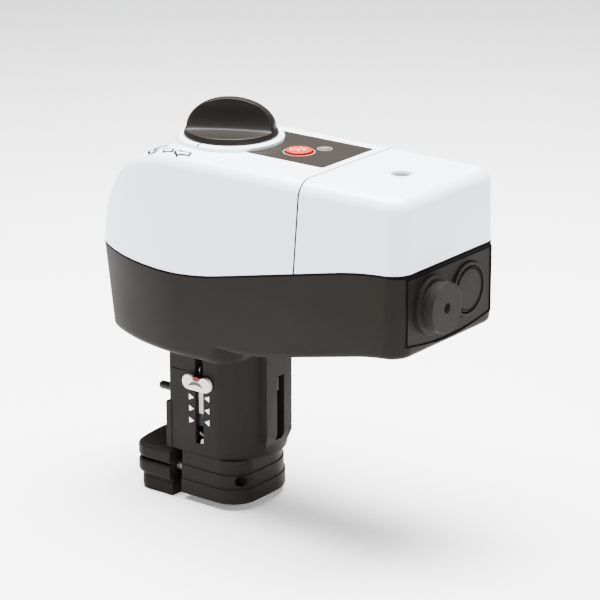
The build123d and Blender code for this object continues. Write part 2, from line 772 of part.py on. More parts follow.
def gear_face(teeth, phase):
    """Involute gear outline with a tooth centred at a phase angle in degrees."""
    pitch_r = MODULE * teeth / 2
    pressure = radians(PRESSURE_DEG)
    base_r = pitch_r * cos(pressure)
    tip_r = pitch_r + ADDENDUM * MODULE
    root_r = pitch_r - DEDENDUM * MODULE
    half = pi / (2 * teeth) - BACKLASH / (4 * pitch_r)

    def flank(radius):
        """Half tooth angle at a radius."""
        roll = acos(base_r / max(radius, base_r))
        return half + tan(pressure) - pressure - (tan(roll) - roll)

    points = []
    for tooth in range(teeth):
        centre = radians(phase) + 2 * pi * tooth / teeth
        side = [(r, flank(r)) for r in (root_r, pitch_r, tip_r)]
        polar = [(r, centre - a) for r, a in side] + [(r, centre + a) for r, a in reversed(side)]
        points += [(r * cos(a), r * sin(a)) for r, a in polar]
    return make_face(Polyline(*points, close=True))


def polar_point(radius, angle):
    """Point at a radius and an angle in degrees."""
    return radius * cos(radians(angle)), radius * sin(radians(angle))


def idler_axis():
    """Plan position of the idler gear."""
    reach = MODULE * (DRIVE_TEETH + IDLER_PINION_TEETH) / 2
    return polar_point(reach, IDLER_DEG)


def motor_axis():
    """Plan position of the motor shaft."""
    reach = MODULE * (IDLER_WHEEL_TEETH + MOTOR_TEETH) / 2
    x, y = polar_point(reach, MOTOR_DEG)
    return idler_axis()[0] + x, idler_axis()[1] + y


def wheel_z():
    """Underside of the idler wheel and motor pinion layer."""
    return LOW_PLATE_Z + PLATE_THICK + LAYER_GAP


def drive_z():
    """Underside of the drive gear, just over the idler wheel."""
    return wheel_z() + WHEEL_T + LAYER_GAP


def spoked(face, teeth, z0, thick, bore_r):
    """Gear blank with a thin web and round lightening holes."""
    inner = MODULE * teeth / 2 - GEAR_RIM
    body = upright(face, z0, z0 + thick)
    web_z = z0 + (thick - GEAR_WEB_T) / 2
    hub_r = bore_r + GEAR_RIM
    pocket = Circle(inner) - Circle(hub_r)
    body = body - upright(pocket, z0 - OVER, web_z) - upright(pocket, web_z + GEAR_WEB_T, z0 + thick + OVER)
    mid = (inner + hub_r) / 2
    radius = min(SPOKE_HOLE_R, (inner - hub_r) / 2 - OVER)
    for step in range(SPOKE_HOLES):
        x, y = polar_point(mid, step * 360 / SPOKE_HOLES)
        body = body - rod(radius, z0, z0 + thick, x, y)
    return body - rod(bore_r, z0 - OVER, z0 + thick + OVER)


def drive_gear():
    """Large gear pressed on the drive hub."""
    return spoked(gear_face(DRIVE_TEETH, IDLER_DEG), DRIVE_TEETH, drive_z(), GEAR_T, HUB_R)


def drive_shaft():
    """Hub with the spindle nut bore, and the shaft up to the knob."""
    top = KNOB_Z + KNOB_SOCKET_H
    body = rod(HUB_R, HUB_Z, HUB_TOP_Z) + rod(SHAFT_R, HUB_TOP_Z, top)
    body = body + rod(KNOB_PIN_R, top, KNOB_Z + KNOB_PIN_H)
    body = body - rod(SPINDLE_R + RUNNING, HUB_Z - OVER, SPINDLE_TOP_Z + OVER)
    return body


def idler_gear():
    """Idler: wide pinion for the drive gear over a wheel for the motor pinion."""
    low = wheel_z()
    mid = low + WHEEL_T
    phase = IDLER_DEG + 180 + 180 / IDLER_PINION_TEETH
    wheel = spoked(gear_face(IDLER_WHEEL_TEETH, MOTOR_DEG), IDLER_WHEEL_TEETH, low, WHEEL_T, MOTOR_SHAFT_R)
    pinion = upright(gear_face(IDLER_PINION_TEETH, phase), mid, drive_z() + GEAR_T + PINION_OVERHANG)
    body = wheel + pinion - rod(MOTOR_SHAFT_R + RUNNING, low - OVER, UP_PLATE_Z)
    x, y = idler_axis()
    return Pos(x, y, 0) * body


def idler_shaft():
    """Steel pin of the idler, held by both plates."""
    x, y = idler_axis()
    return rod(MOTOR_SHAFT_R, LOW_PLATE_Z, UP_PLATE_Z + PLATE_THICK, x, y)


def motor_pinion():
    """Pinion pressed on the motor shaft."""
    low = wheel_z() - PINION_OVERHANG
    phase = MOTOR_DEG + 180 + 180 / MOTOR_TEETH
    high = low + WHEEL_T + 2 * PINION_OVERHANG
    body = upright(gear_face(MOTOR_TEETH, phase), low, high)
    body = body - rod(MOTOR_SHAFT_R, low - OVER, high + OVER)
    x, y = motor_axis()
    return Pos(x, y, 0) * body


def motor():
    """Round motor can standing on the upper plate, with ears and a pilot boss."""
    low = UP_PLATE_Z + PLATE_THICK
    can = rod(MOTOR_R, low, low + MOTOR_H)
    can = fillet(can.edges().group_by(Axis.Z)[-1], MOTOR_EDGE_R)
    for side in (-1, 1):
        ear = Pos(side * MOTOR_EAR_X / 2, 0) * Rectangle(MOTOR_EAR_X, 2 * MOTOR_EAR_R)
        ear = ear + Pos(side * MOTOR_EAR_X, 0) * Circle(MOTOR_EAR_R)
        can = can + upright(ear, low, low + MOTOR_EAR_T)
        hole_r = CHASSIS_SCREW_R + HOLE_CLEARANCE
        can = can - rod(hole_r, low - OVER, low + MOTOR_EAR_T + OVER, side * MOTOR_EAR_X)
    can = can + rod(MOTOR_BOSS_R, low + MOTOR_H, low + MOTOR_H + MOTOR_BOSS_H)
    can = can - rod(MOTOR_SHAFT_R + RUNNING, low - OVER, low + MOTOR_H / 2)
    x, y = motor_axis()
    return Pos(x, y, 0) * Rot(0, 0, 90) * can


def motor_shaft():
    """Motor shaft from inside the can down to the pinion."""
    x, y = motor_axis()
    low = wheel_z() - PINION_OVERHANG
    return rod(MOTOR_SHAFT_R, low, UP_PLATE_Z + PLATE_THICK + MOTOR_H / 2, x, y)


def motor_screws():
    """Two screws through the motor ears."""
    x, y = motor_axis()
    seat = UP_PLATE_Z + PLATE_THICK + MOTOR_EAR_T
    screws = [plate_screw(x, y + side * MOTOR_EAR_X, seat, PLATE_THICK + MOTOR_EAR_T) for side in (-1, 1)]
    return Part(children=screws)


def plate_screw(x, y, seat, length):
    """Pan-head screw standing on a seat, threaded length below."""
    head = rod(CHASSIS_HEAD_R, seat, seat + CHASSIS_HEAD_H, x, y)
    head = fillet(head.edges().group_by(Axis.Z)[-1], CHAMFER)
    return head + rod(CHASSIS_SCREW_R, seat - length, seat, x, y)


def chassis_face():
    """Plan of the gear chassis plates."""
    plan = Pos((PLATE_X0 + PLATE_X1) / 2, 0) * Rectangle(PLATE_X1 - PLATE_X0, 2 * PLATE_HALF)
    plan = fillet(plan.vertices(), PLATE_R)
    for x, y in pillar_points():
        plan = plan - Pos(x, y) * Circle(CHASSIS_SCREW_R)
    return plan - Pos(*idler_axis()) * Circle(MOTOR_SHAFT_R) - Circle(HUB_R + BUSH_T)


def lower_plate():
    """Chassis plate on the posts of the tray."""
    return upright(chassis_face(), LOW_PLATE_Z, LOW_PLATE_Z + PLATE_THICK)


def upper_plate():
    """Chassis plate over the gears; it carries the motor."""
    x, y = motor_axis()
    face = chassis_face() - Pos(x, y) * Circle(MOTOR_BOSS_R)
    for side in (-1, 1):
        face = face - Pos(x, y + side * MOTOR_EAR_X) * Circle(CHASSIS_SCREW_R)
    return upright(face, UP_PLATE_Z, UP_PLATE_Z + PLATE_THICK)


def chassis_pillars():
    """Four spacer tubes between the plates."""
    low = LOW_PLATE_Z + PLATE_THICK
    tubes = [
        rod(PILLAR_R, low, UP_PLATE_Z, x, y) - rod(CHASSIS_SCREW_R, low - OVER, UP_PLATE_Z + OVER, x, y)
        for x, y in pillar_points()
    ]
    return Part(children=tubes)


def chassis_screws():
    """Four long screws through plates and pillars into the posts."""
    seat = UP_PLATE_Z + PLATE_THICK
    length = seat - LOW_PLATE_Z + POST_R
    return Part(children=[plate_screw(x, y, seat, length) for x, y in pillar_points()])


def hub_bush(low):
    """Flanged bush of the drive hub, seated in a plate from above."""
    body = rod(HUB_R + BUSH_T, low, low + PLATE_THICK + BUSH_FLANGE_T)
    body = body + rod(BUSH_FLANGE_R, low + PLATE_THICK, low + PLATE_THICK + BUSH_FLANGE_T)
    return body - rod(HUB_R + RUNNING, low - OVER, low + PLATE_THICK + BUSH_FLANGE_T + OVER)


def spindle():
    """Lifting spindle from the hub nut down to the stem coupling."""
    body = rod(SPINDLE_R, COUPLING_Z + COUPLING_BORE_H + SPINDLE_SEAT, SPINDLE_TOP_Z)
    return chamfer(body.edges().group_by(Axis.Z)[-1], CHAMFER)


def guide_bush():
    """Bush in the pan floor that guides the spindle."""
    seat = PAN_Z + WALL
    top = seat + GUIDE_FLANGE_T
    body = rod(GUIDE_R, GUIDE_Z, top) + rod(GUIDE_FLANGE_R, seat, top)
    return body - rod(SPINDLE_R + RUNNING, GUIDE_Z - OVER, top + OVER)


def spindle_wiper():
    """Soft ring round the spindle over the bush."""
    low = PAN_Z + WALL + GUIDE_FLANGE_T
    ring = rod(WIPER_R, low, low + WIPER_T)
    ring = fillet(ring.edges().group_by(Axis.Z)[-1], CHAMFER)
    return ring - rod(SPINDLE_R + 2 * RUNNING, low - OVER, low + WIPER_T + OVER)


def neck_face(inset):
    """Plan of the neck: flat front, back and left, round on the right."""
    front = -NECK_FRONT_Y + inset
    rear = NECK_REAR_Y - inset
    left = NECK_LEFT_X + inset
    flat = Pos(left / 2, (front + rear) / 2) * Rectangle(-left, rear - front)
    box = Pos(NECK_R / 2, (front + rear) / 2) * Rectangle(NECK_R, rear - front)
    face = flat + (box & Pos(0, NECK_ROUND_Y) * Circle(NECK_R - inset))
    return fillet(face.vertices().group_by(Axis.X)[0], NECK_CORNER_R)


def collar_face(out):
    """Plan of the clamp collar, grown by a step, rounded towards the entries."""
    end = COLLAR_X + out
    front = -COLLAR_FRONT_Y - out
    rear = COLLAR_REAR_Y + out
    width = end - COLLAR_LEFT_X
    plan = Pos((COLLAR_LEFT_X + end) / 2, (front + rear) / 2) * Rectangle(width, rear - front)
    corners = plan.vertices().group_by(Axis.X)[-1].sort_by(Axis.Y)
    plan = fillet(corners[0], COLLAR_CORNER_R)
    corners = plan.vertices().group_by(Axis.Y)[-1].sort_by(Axis.X)
    return fillet(corners[-1], COLLAR_REAR_R)


def neck():
    """Neck casting: slotted tube, guide rail and the half collar of the clamp."""
    tube = upright(neck_face(0), COLLAR_TOP_Z, PAN_Z)
    rail = block(0, RAIL_X, RAIL_Y0, RAIL_Y1, RAIL_Z, PAN_Z)
    wedge = Plane.XZ * make_face(Polyline(
        (RAIL_X, RAIL_Z), (RAIL_X, RAIL_Z + RAIL_CHAMFER_H), (RAIL_X - RAIL_CHAMFER, RAIL_Z), close=True
    ))
    rail = rail - extrude(wedge, amount=NECK_R, both=True)
    corner = rail.edges().filter_by(Axis.X).group_by(Axis.Z)[0].sort_by(Axis.Y)[0]
    rail = fillet(corner, RAIL_FOOT_R)
    ear_y = -NECK_FRONT_Y - EAR_PROUD
    ear = block(NECK_LEFT_X - EAR_OUT, NECK_LEFT_X + EAR_LAP, ear_y, ear_y + EAR_W, COLLAR_TOP_Z, EAR_Z1)
    body = tube + rail + ear
    body = body - upright(neck_face(NECK_WALL), COLLAR_TOP_Z - OVER, PAN_Z - NECK_CAP_T)
    step = COLLAR_TOP_Z / COLLAR_STEPS
    for level in range(COLLAR_STEPS):
        out = (COLLAR_STEPS - 1 - level) * COLLAR_STEP_OUT
        body = body + upright(collar_face(out), level * step, (level + OVER) * step)
    body = body - rod(VALVE_NECK_R, -1, COLLAR_TOP_Z + OVER)
    front = -NECK_FRONT_Y
    half = STRIP_HALF + STRIP_SIDE_GAP
    pocket_z = STRIP_END_Z - STROKE - STRIP_POCKET_GAP
    pocket_end = -VALVE_NECK_R + NECK_WALL
    body = body - block(-half, half, front + NECK_WALL, pocket_end, pocket_z, COLLAR_TOP_Z + OVER)
    slot = block(-SLOT_HALF, SLOT_HALF, 2 * front, front + 2 * NECK_WALL, SLOT_Z, PAN_Z - NECK_CAP_T)
    body = body - Pos(SLOT_X, 0, 0) * slot
    mark = block(2 * NECK_LEFT_X, MARK_X, 2 * front, front + MARK_DEPTH, MARK_Z, MARK_Z + MARK_W)
    body = body - mark
    body = body - block(0, 2 * RAIL_X, WINDOW_Y0, WINDOW_Y1, WINDOW_Z0, WINDOW_Z1)
    body = body - rod(GUIDE_R, GUIDE_Z - OVER, PAN_Z + OVER)
    for x, y in neck_screw_points():
        post = rod(POST_R - OVER, PAN_Z - 3 * NECK_CAP_T, PAN_Z, x, y)
        body = body + (post & upright(neck_face(0), 0, PAN_Z))
        body = body - rod(CHASSIS_SCREW_R, PAN_Z - 3 * NECK_CAP_T + OVER, PAN_Z + OVER, x, y)
    body = body - rod_x(PIN_R, NECK_LEFT_X - OVER, NECK_LEFT_X + PIN_HOLD, PIN_Y, PIN_Z)
    for side, head_x in zip((-1, 1), CLAMP_HEAD_X):
        body = body - clamp_bore(side * CLAMP_Y, head_x)
    return body


def clamp_bore(y, head_x):
    """Key hole, head chamber and shank hole of one clamp screw."""
    head_end = head_x + CLAMP_HEAD_H
    key = rod_x(CLAMP_KEY_HOLE_R, head_end, 2 * COLLAR_X, y, CLAMP_Z)
    chamber_r = CLAMP_HEAD_R + CLAMP_CLEARANCE
    chamber = rod_x(chamber_r, head_x - RUNNING, head_end + RUNNING, y, CLAMP_Z)
    shank = rod_x(CLAMP_SCREW_R + CLAMP_CLEARANCE, 2 * JAW_BACK_X, head_x, y, CLAMP_Z)
    return key + chamber + shank


def clamp_screw(y, head_x):
    """Clamp screw along X with a hexagon socket in its head."""
    head_end = head_x + CLAMP_HEAD_H
    body = rod_x(CLAMP_HEAD_R, head_x, head_end, y, CLAMP_Z)
    body = body + rod_x(CLAMP_SCREW_R, CLAMP_SCREW_END_X, head_x, y, CLAMP_Z)
    hexagon = RegularPolygon(CLAMP_KEY_AF / 2, HEX_SIDES, major_radius=False)
    socket = extrude(hexagon, amount=CLAMP_KEY_DEPTH)
    return body - Pos(head_end - CLAMP_KEY_DEPTH, y, CLAMP_Z) * Rot(0, 90, 0) * socket


def jaw_face(inset):
    """Plan of the clamp jaw: flat towards the collar, bowed on its back."""
    half = JAW_HALF - inset
    back = JAW_BACK_X + inset
    shoulder = JAW_BACK_R - inset - sqrt((JAW_BACK_R - inset) ** 2 - half ** 2)
    face = make_face([
        Line((JAW_FACE_X, half), (JAW_FACE_X, -half)),
        Line((JAW_FACE_X, -half), (back + shoulder, -half)),
        ThreePointArc((back + shoulder, -half), (back, 0), (back + shoulder, half)),
        Line((back + shoulder, half), (JAW_FACE_X, half)),
    ])
    return fillet(face.vertices().group_by(Axis.X)[-2], JAW_CORNER_R - inset)


def clamp_jaw():
    """Clamp jaw with bulged bands outside and a seat for the valve neck inside."""
    body = upright(jaw_face(JAW_CORE_IN), JAW_Z0, JAW_TOP_Z)
    height = (JAW_TOP_Z - JAW_Z0) / JAW_BANDS
    for level in range(JAW_BANDS):
        low = JAW_Z0 + level * height
        inset = JAW_FOOT_IN if level == 0 else 0
        band = upright(jaw_face(inset), low + JAW_BAND_GAP, low + height - JAW_BAND_GAP)
        edges = band.edges().group_by(Axis.Z)[0] + band.edges().group_by(Axis.Z)[-1]
        edges = [e for e in edges if e.center().X < JAW_FACE_X - FOUND]
        body = body + fillet(edges, JAW_BAND_R)
    body = body + block(JAW_FACE_X, JAW_PAD_X, -JAW_PAD_HALF, JAW_PAD_HALF, 0, JAW_TOP_Z)
    body = body - rod(VALVE_NECK_R, JAW_Z0 - OVER, JAW_TOP_Z + OVER)
    notch_end = JAW_NOTCH_X + JAW_NOTCH_W
    notch_z = JAW_TOP_Z - JAW_NOTCH_DEPTH
    notch = block(JAW_NOTCH_X, notch_end, -JAW_NOTCH_Y, JAW_NOTCH_Y, notch_z, JAW_TOP_Z + OVER)
    body = body - notch
    for side in (-1, 1):
        screw_r = CLAMP_SCREW_R + RUNNING
        body = body - rod_x(screw_r, JAW_BORE_END_X, JAW_FACE_X + OVER, side * CLAMP_Y, CLAMP_Z)
    return body


def lock_pin():
    """Round-ended pin through the left wall of the neck."""
    body = rod_x(PIN_R, PIN_X, NECK_LEFT_X + PIN_HOLD, PIN_Y, PIN_Z)
    return fillet(body.edges().group_by(Axis.X)[0], PIN_END_R)


def strip_back():
    """Y of the front face of the sliding strip, just behind the front wall."""
    return -NECK_FRONT_Y + NECK_WALL + STRIP_BACK


def carriage():
    """Carriage on the spindle with an arm to the front strip and a tongue in the window."""
    body = rod(CARRIAGE_R, CARRIAGE_Z0, CARRIAGE_Z1)
    body = chamfer(body.edges().group_by(Axis.Z)[-1], CHAMFER)
    body = body + block(-ARM_HALF, ARM_HALF, strip_back() + STRIP_T, 0, CARRIAGE_Z0, CARRIAGE_Z1)
    tongue_y = (WINDOW_Y0 + WINDOW_Y1) / 2
    low_y = tongue_y - GUIDE_TONGUE_HALF
    high_y = tongue_y + GUIDE_TONGUE_HALF
    tongue = block(0, RAIL_X - NECK_WALL, low_y, high_y, CARRIAGE_Z0, WINDOW_Z1 - SPINDLE_SEAT)
    return body + tongue - rod(SPINDLE_R, CARRIAGE_Z0 - OVER, CARRIAGE_Z1 + OVER)


def indicator_strip(z0, z1):
    """Flat strip behind the front slot between two heights."""
    front = strip_back()
    return block(-STRIP_HALF, STRIP_HALF, front, front + STRIP_T, z0, z1)


def pointer():
    """Pointer on the strip that reaches through the slot to the clip."""
    front = -NECK_FRONT_Y - CLIP_LIFT - CLIP_T
    body = block(-POINTER_HALF, POINTER_HALF, front, strip_back(), POINTER_Z, POINTER_Z + POINTER_H)
    return Pos(SLOT_X, 0, 0) * body


def position_clip():
    """Two-lobed clip on the pointer in front of the neck."""
    front = -NECK_FRONT_Y - CLIP_LIFT
    plan = Pos(-CLIP_HALF + CLIP_LOBE_R, POINTER_Z) * Circle(CLIP_LOBE_R)
    plan = plan + Pos(CLIP_HALF - CLIP_LOBE_R, POINTER_Z) * Circle(CLIP_LOBE_R)
    bar_z = POINTER_Z - CLIP_DROP
    plan = plan + Pos(0, bar_z) * Rectangle(2 * (CLIP_HALF - CLIP_LOBE_R), 2 * (CLIP_LOBE_R - CLIP_DROP))
    body = Pos(0, front, 0) * extrude(Plane.XZ * plan, amount=CLIP_T)
    body = body - block(-POINTER_HALF, POINTER_HALF, 2 * front, 0, POINTER_Z, POINTER_Z + 2 * POINTER_H)
    return Pos(SLOT_X, 0, 0) * body


def stem_coupling():
    """Ribbed coupling under the spindle with a blind socket for the valve stem."""
    top = CARRIAGE_Z0
    body = rod(COUPLING_R, COUPLING_Z, top)
    pitch = (top - COUPLING_Z) / (COUPLING_RIBS + OVER)
    for rib in range(COUPLING_RIBS):
        low = COUPLING_Z + (rib + 0.5) * pitch
        body = body + rod(COUPLING_RIB_R, low, low + COUPLING_RIB_T)
    body = chamfer(body.edges().group_by(Axis.Z)[0], CHAMFER)
    body = body - rod(SPINDLE_R, COUPLING_Z + COUPLING_BORE_H + SPINDLE_SEAT, top + OVER)
    return body - rod(COUPLING_BORE_R, COUPLING_Z - OVER, COUPLING_Z + COUPLING_BORE_H)


def cable_entry_plate():
    """End plate in its frame, with one open entry and one thin knock-out."""
    x1 = end_wall_x()
    body = towards_end(entry_plate_face(PLATE_GAP), x1 - PLATE_T, x1)
    body = body - rod_x(ENTRY_HOLE_R + KNOCK_GROOVE_W, x1 - PLATE_T - OVER, x1 + OVER, -ENTRY_Y, ENTRY_Z)
    return body - rod_x(ENTRY_HOLE_R, x1 - PLATE_T - OVER, x1 + OVER, ENTRY_Y, ENTRY_Z)


def cable_grommet():
    """Stepped rubber grommet clipped in the open entry."""
    x1 = end_wall_x()
    body = rod_x(GROMMET_FLANGE_R, x1, x1 + GROMMET_FLANGE_T, 0, 0)
    body = body + rod_x(GROMMET_BODY_R, x1, x1 + GROMMET_LENGTH, 0, 0)
    body = body + rod_x(GROMMET_FACE_R, x1 + GROMMET_LENGTH / 2, x1 + GROMMET_LENGTH, 0, 0)
    body = body + rod_x(ENTRY_HOLE_R + KNOCK_GROOVE_W, x1 - PLATE_T, x1, 0, 0)
    body = body + rod_x(GROMMET_LIP_R, x1 - PLATE_T - GROMMET_LIP_T, x1 - PLATE_T, 0, 0)
    inside = x1 - PLATE_T - GROMMET_LIP_T
    body = body - rod_x(GROMMET_CAVITY_R, inside - OVER, x1 + GROMMET_LENGTH - GROMMET_SKIN, 0, 0)
    body = body - rod_x(GROMMET_BORE_R, x1, x1 + GROMMET_LENGTH + OVER, 0, 0)
    return Pos(0, -ENTRY_Y, ENTRY_Z) * body


def knockout_plug():
    """Blanking plug of the second entry with a round groove."""
    x1 = end_wall_x()
    body = rod_x(ENTRY_HOLE_R, x1 - PLATE_T, x1, 0, 0)
    body = body + rod_x(KNOCK_RIM_R, x1, x1 + KNOCK_RIM_T, 0, 0)
    ring = rod_x(KNOCK_GROOVE_R, x1 + KNOCK_RIM_T - KNOCK_GROOVE_DEPTH, x1 + 2 * OVER, 0, 0)
    ring = ring - rod_x(KNOCK_GROOVE_R - KNOCK_GROOVE_W, x1 - OVER, x1 + 3 * OVER, 0, 0)
    return Pos(0, ENTRY_Y, ENTRY_Z) * (body - ring)


def control_board():
    """Board under the panel, hung from the cover."""
    low = TOP_BOARD_Z
    high = low + BOARD_T
    body = block(TOP_BOARD_X0, TOP_BOARD_X1, -TOP_BOARD_HALF, TOP_BOARD_HALF, low, high)
    for x, y in hanger_points():
        body = body - rod(CHASSIS_SCREW_R + HOLE_CLEARANCE, low - OVER, high + OVER, x, y)
    return body


def board_screws():
    """Four screws from below into the hangers."""
    length = BOARD_T + POST_R
    screws = []
    for x, y in hanger_points():
        head = rod(BOARD_SCREW_HEAD_R, TOP_BOARD_Z - CHASSIS_HEAD_H, TOP_BOARD_Z, x, y)
        shank = rod(CHASSIS_SCREW_R - HOLE_CLEARANCE, TOP_BOARD_Z, TOP_BOARD_Z + length, x, y)
        screws.append(head + shank)
    return Part(children=screws)


def push_switch():
    """Small switch under the button."""
    low = TOP_BOARD_Z + BOARD_T
    half = SWITCH_W / 2
    body = block(-half, half, -half, half, low, low + SWITCH_H)
    return Pos(BUTTON_X, 0, 0) * (body + rod(SWITCH_KEY_R, low + SWITCH_H, switch_top() - BUTTON_STROKE))


def terminal_board():
    """Board in the terminal room, holed for the cover post."""
    high = LOW_BOARD_Z + BOARD_T
    body = block(LOW_BOARD_X0, LOW_BOARD_X1, -LOW_BOARD_HALF, LOW_BOARD_HALF, LOW_BOARD_Z, high)
    return body - rod(CAP_TUBE_R + CAP_CLEARANCE, LOW_BOARD_Z - OVER, high + OVER, CAP_X)


def terminal_block():
    """Row of screw terminals with wire mouths towards the entries."""
    half = TERMINAL_POLES * TERMINAL_PITCH / 2
    low = LOW_BOARD_Z + BOARD_T
    near = TERMINAL_X - TERMINAL_L / 2
    screw_x = near + TERMINAL_L / 3
    body = block(near, near + TERMINAL_L, -half, half, low, low + TERMINAL_H)
    edge = body.edges().filter_by(Axis.Y).group_by(Axis.Z)[-1].sort_by(Axis.X)[-1]
    body = chamfer(edge, TERMINAL_L / 4)
    for pole in range(TERMINAL_POLES):
        y = -half + (pole + 0.5) * TERMINAL_PITCH
        body = body - rod_x(TERMINAL_WIRE_R, TERMINAL_X, TERMINAL_X + TERMINAL_L, y, low + TERMINAL_H / 3)
        body = body - rod(TERMINAL_WIRE_R, low + TERMINAL_H / 2, low + TERMINAL_H + OVER, screw_x, y)
    return body


def dip_switch():
    """Row of setting switches with small levers."""
    low = LOW_BOARD_Z + BOARD_T
    half = DIP_WAYS * DIP_PITCH / 2
    body = block(DIP_X - DIP_W / 2, DIP_X + DIP_W / 2, DIP_Y - half, DIP_Y + half, low, low + DIP_H)
    for way in range(DIP_WAYS):
        y = DIP_Y - half + (way + 0.5) * DIP_PITCH
        shift = DIP_THROW if way % 2 else -DIP_THROW
        lever = Box(DIP_LEVER, DIP_LEVER, DIP_LEVER_H)
        body = body + Pos(DIP_X + shift, y, low + DIP_H + DIP_LEVER_H / 2) * lever
    return body


def relay():
    """Relay on the terminal board."""
    sx, sy, sz = RELAY_SIZE
    x, y = RELAY_XY
    low = LOW_BOARD_Z + BOARD_T
    body = block(x - sx / 2, x + sx / 2, y - sy / 2, y + sy / 2, low, low + sz)
    return fillet(body.edges().group_by(Axis.Z)[-1], CHAMFER)


def capacitor():
    """Upright capacitor can."""
    low = LOW_BOARD_Z + BOARD_T
    x, y = CAP_CAN_XY
    body = rod(CAP_CAN_R, low, low + CAP_CAN_L, x, y)
    return fillet(body.edges().group_by(Axis.Z)[-1], CHAMFER)


def limit_switch():
    """End-of-travel switch on the upper plate beside the hub."""
    sx, sy, sz = LIMIT_SIZE
    x, y = LIMIT_XY
    low = UP_PLATE_Z + PLATE_THICK
    body = block(x - sx / 2, x + sx / 2, y - sy / 2, y + sy / 2, low, low + sz)
    return body + Pos(x + sx / 4, y, low + sz + LIMIT_KEY[2] / 2) * Box(*LIMIT_KEY)


def neck_screws():
    """Four screws from the pan floor into the neck."""
    seat = PAN_Z + WALL
    return Part(children=[plate_screw(x, y, seat, WALL + 2 * NECK_CAP_T) for x, y in neck_screw_points()])


def save(name, shape):
    """Write one piece as its own file."""
    export_step(shape, os.path.join("parts", name + ".step"))


def main():
    """Build every piece and write it."""
    os.makedirs("parts", exist_ok=True)
    main_blank, terminal_blank = covers()
    pieces = {
        "base_housing": base_housing(),
        "main_cover": main_cover(main_blank),
        "terminal_cover": terminal_cover(terminal_blank),
        "terminal_cover_screw": terminal_cover_screw(),
        "label_panel": label_panel(),
        "button": button(),
        "light_pipe": light_pipe(),
        "knob": knob(),
        "drive_shaft": drive_shaft(),
        "drive_gear": drive_gear(),
        "idler_gear": idler_gear(),
        "idler_shaft": idler_shaft(),
        "motor_pinion": motor_pinion(),
        "motor_shaft": motor_shaft(),
        "motor": motor(),
        "motor_screws": motor_screws(),
        "lower_plate": lower_plate(),
        "upper_plate": upper_plate(),
        "chassis_pillars": chassis_pillars(),
        "chassis_screws": chassis_screws(),
        "lower_hub_bush": hub_bush(LOW_PLATE_Z),
        "upper_hub_bush": hub_bush(UP_PLATE_Z),
        "limit_switch": limit_switch(),
        "spindle": spindle(),
        "guide_bush": guide_bush(),
        "spindle_wiper": spindle_wiper(),
        "carriage": carriage(),
        "indicator_strip": indicator_strip(STRIP_Z, STRIP_TOP_Z),
        "indicator_tail": indicator_strip(STRIP_END_Z, STRIP_Z),
        "pointer": pointer(),
        "position_clip": position_clip(),
        "stem_coupling": stem_coupling(),
        "neck": neck(),
        "neck_screws": neck_screws(),
        "lock_pin": lock_pin(),
        "clamp_jaw": clamp_jaw(),
        "front_clamp_screw": clamp_screw(-CLAMP_Y, CLAMP_HEAD_X[0]),
        "rear_clamp_screw": clamp_screw(CLAMP_Y, CLAMP_HEAD_X[1]),
        "cable_entry_plate": cable_entry_plate(),
        "cable_grommet": cable_grommet(),
        "knockout_plug": knockout_plug(),
        "control_board": control_board(),
        "board_screws": board_screws(),
        "push_switch": push_switch(),
        "terminal_board": terminal_board(),
        "terminal_block": terminal_block(),
        "dip_switch": dip_switch(),
        "relay": relay(),
        "capacitor": capacitor(),
    }
    for name, shape in pieces.items():
        save(name, shape)


if __name__ == "__main__":
    main()
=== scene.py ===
"""Electric valve actuator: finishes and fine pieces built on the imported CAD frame.

All sizes in this file are in millimetres and become metres when a mesh is made.
"""

import json
import logging
import math
from dataclasses import dataclass, replace
from enum import Enum
from typing import NamedTuple

import bpy
import numpy as np
from mathutils import Matrix, Vector

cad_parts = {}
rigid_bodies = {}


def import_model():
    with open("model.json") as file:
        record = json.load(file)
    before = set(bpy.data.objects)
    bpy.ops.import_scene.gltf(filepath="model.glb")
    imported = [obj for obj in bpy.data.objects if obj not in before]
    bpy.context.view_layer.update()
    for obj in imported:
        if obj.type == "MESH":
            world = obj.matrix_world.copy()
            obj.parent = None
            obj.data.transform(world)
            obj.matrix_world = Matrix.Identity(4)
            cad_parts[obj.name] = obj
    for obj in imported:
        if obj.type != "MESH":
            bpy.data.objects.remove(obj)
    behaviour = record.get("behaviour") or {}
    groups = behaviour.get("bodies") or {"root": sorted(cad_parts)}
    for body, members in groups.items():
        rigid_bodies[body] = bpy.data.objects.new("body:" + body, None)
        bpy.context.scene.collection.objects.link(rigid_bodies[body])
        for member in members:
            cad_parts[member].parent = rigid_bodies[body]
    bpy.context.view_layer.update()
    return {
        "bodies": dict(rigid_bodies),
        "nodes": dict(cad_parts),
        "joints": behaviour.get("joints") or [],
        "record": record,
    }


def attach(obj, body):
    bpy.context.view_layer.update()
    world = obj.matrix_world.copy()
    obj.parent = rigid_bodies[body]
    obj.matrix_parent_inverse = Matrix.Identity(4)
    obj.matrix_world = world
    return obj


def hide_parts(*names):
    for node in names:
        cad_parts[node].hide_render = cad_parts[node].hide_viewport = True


Array = np.ndarray
Object = bpy.types.Object
Tree = bpy.types.NodeTree
Socket = bpy.types.NodeSocket
Pair = tuple[float, float]
Triple = tuple[float, float, float]

LOG = logging.getLogger("actuator")
MM = 0.001
TAU = 2.0 * math.pi
TINY = 1e-6
DECIMALS = 6
POINT_GAP = 0.002


class Relief(Enum):
    """Kind of fine surface relief that a finish has."""

    MOULD = "mould"
    SMOOTH = "smooth"
    BRUSHED = "brushed"
    TURNED = "turned"
    CAST = "cast"
    BOARD = "board"


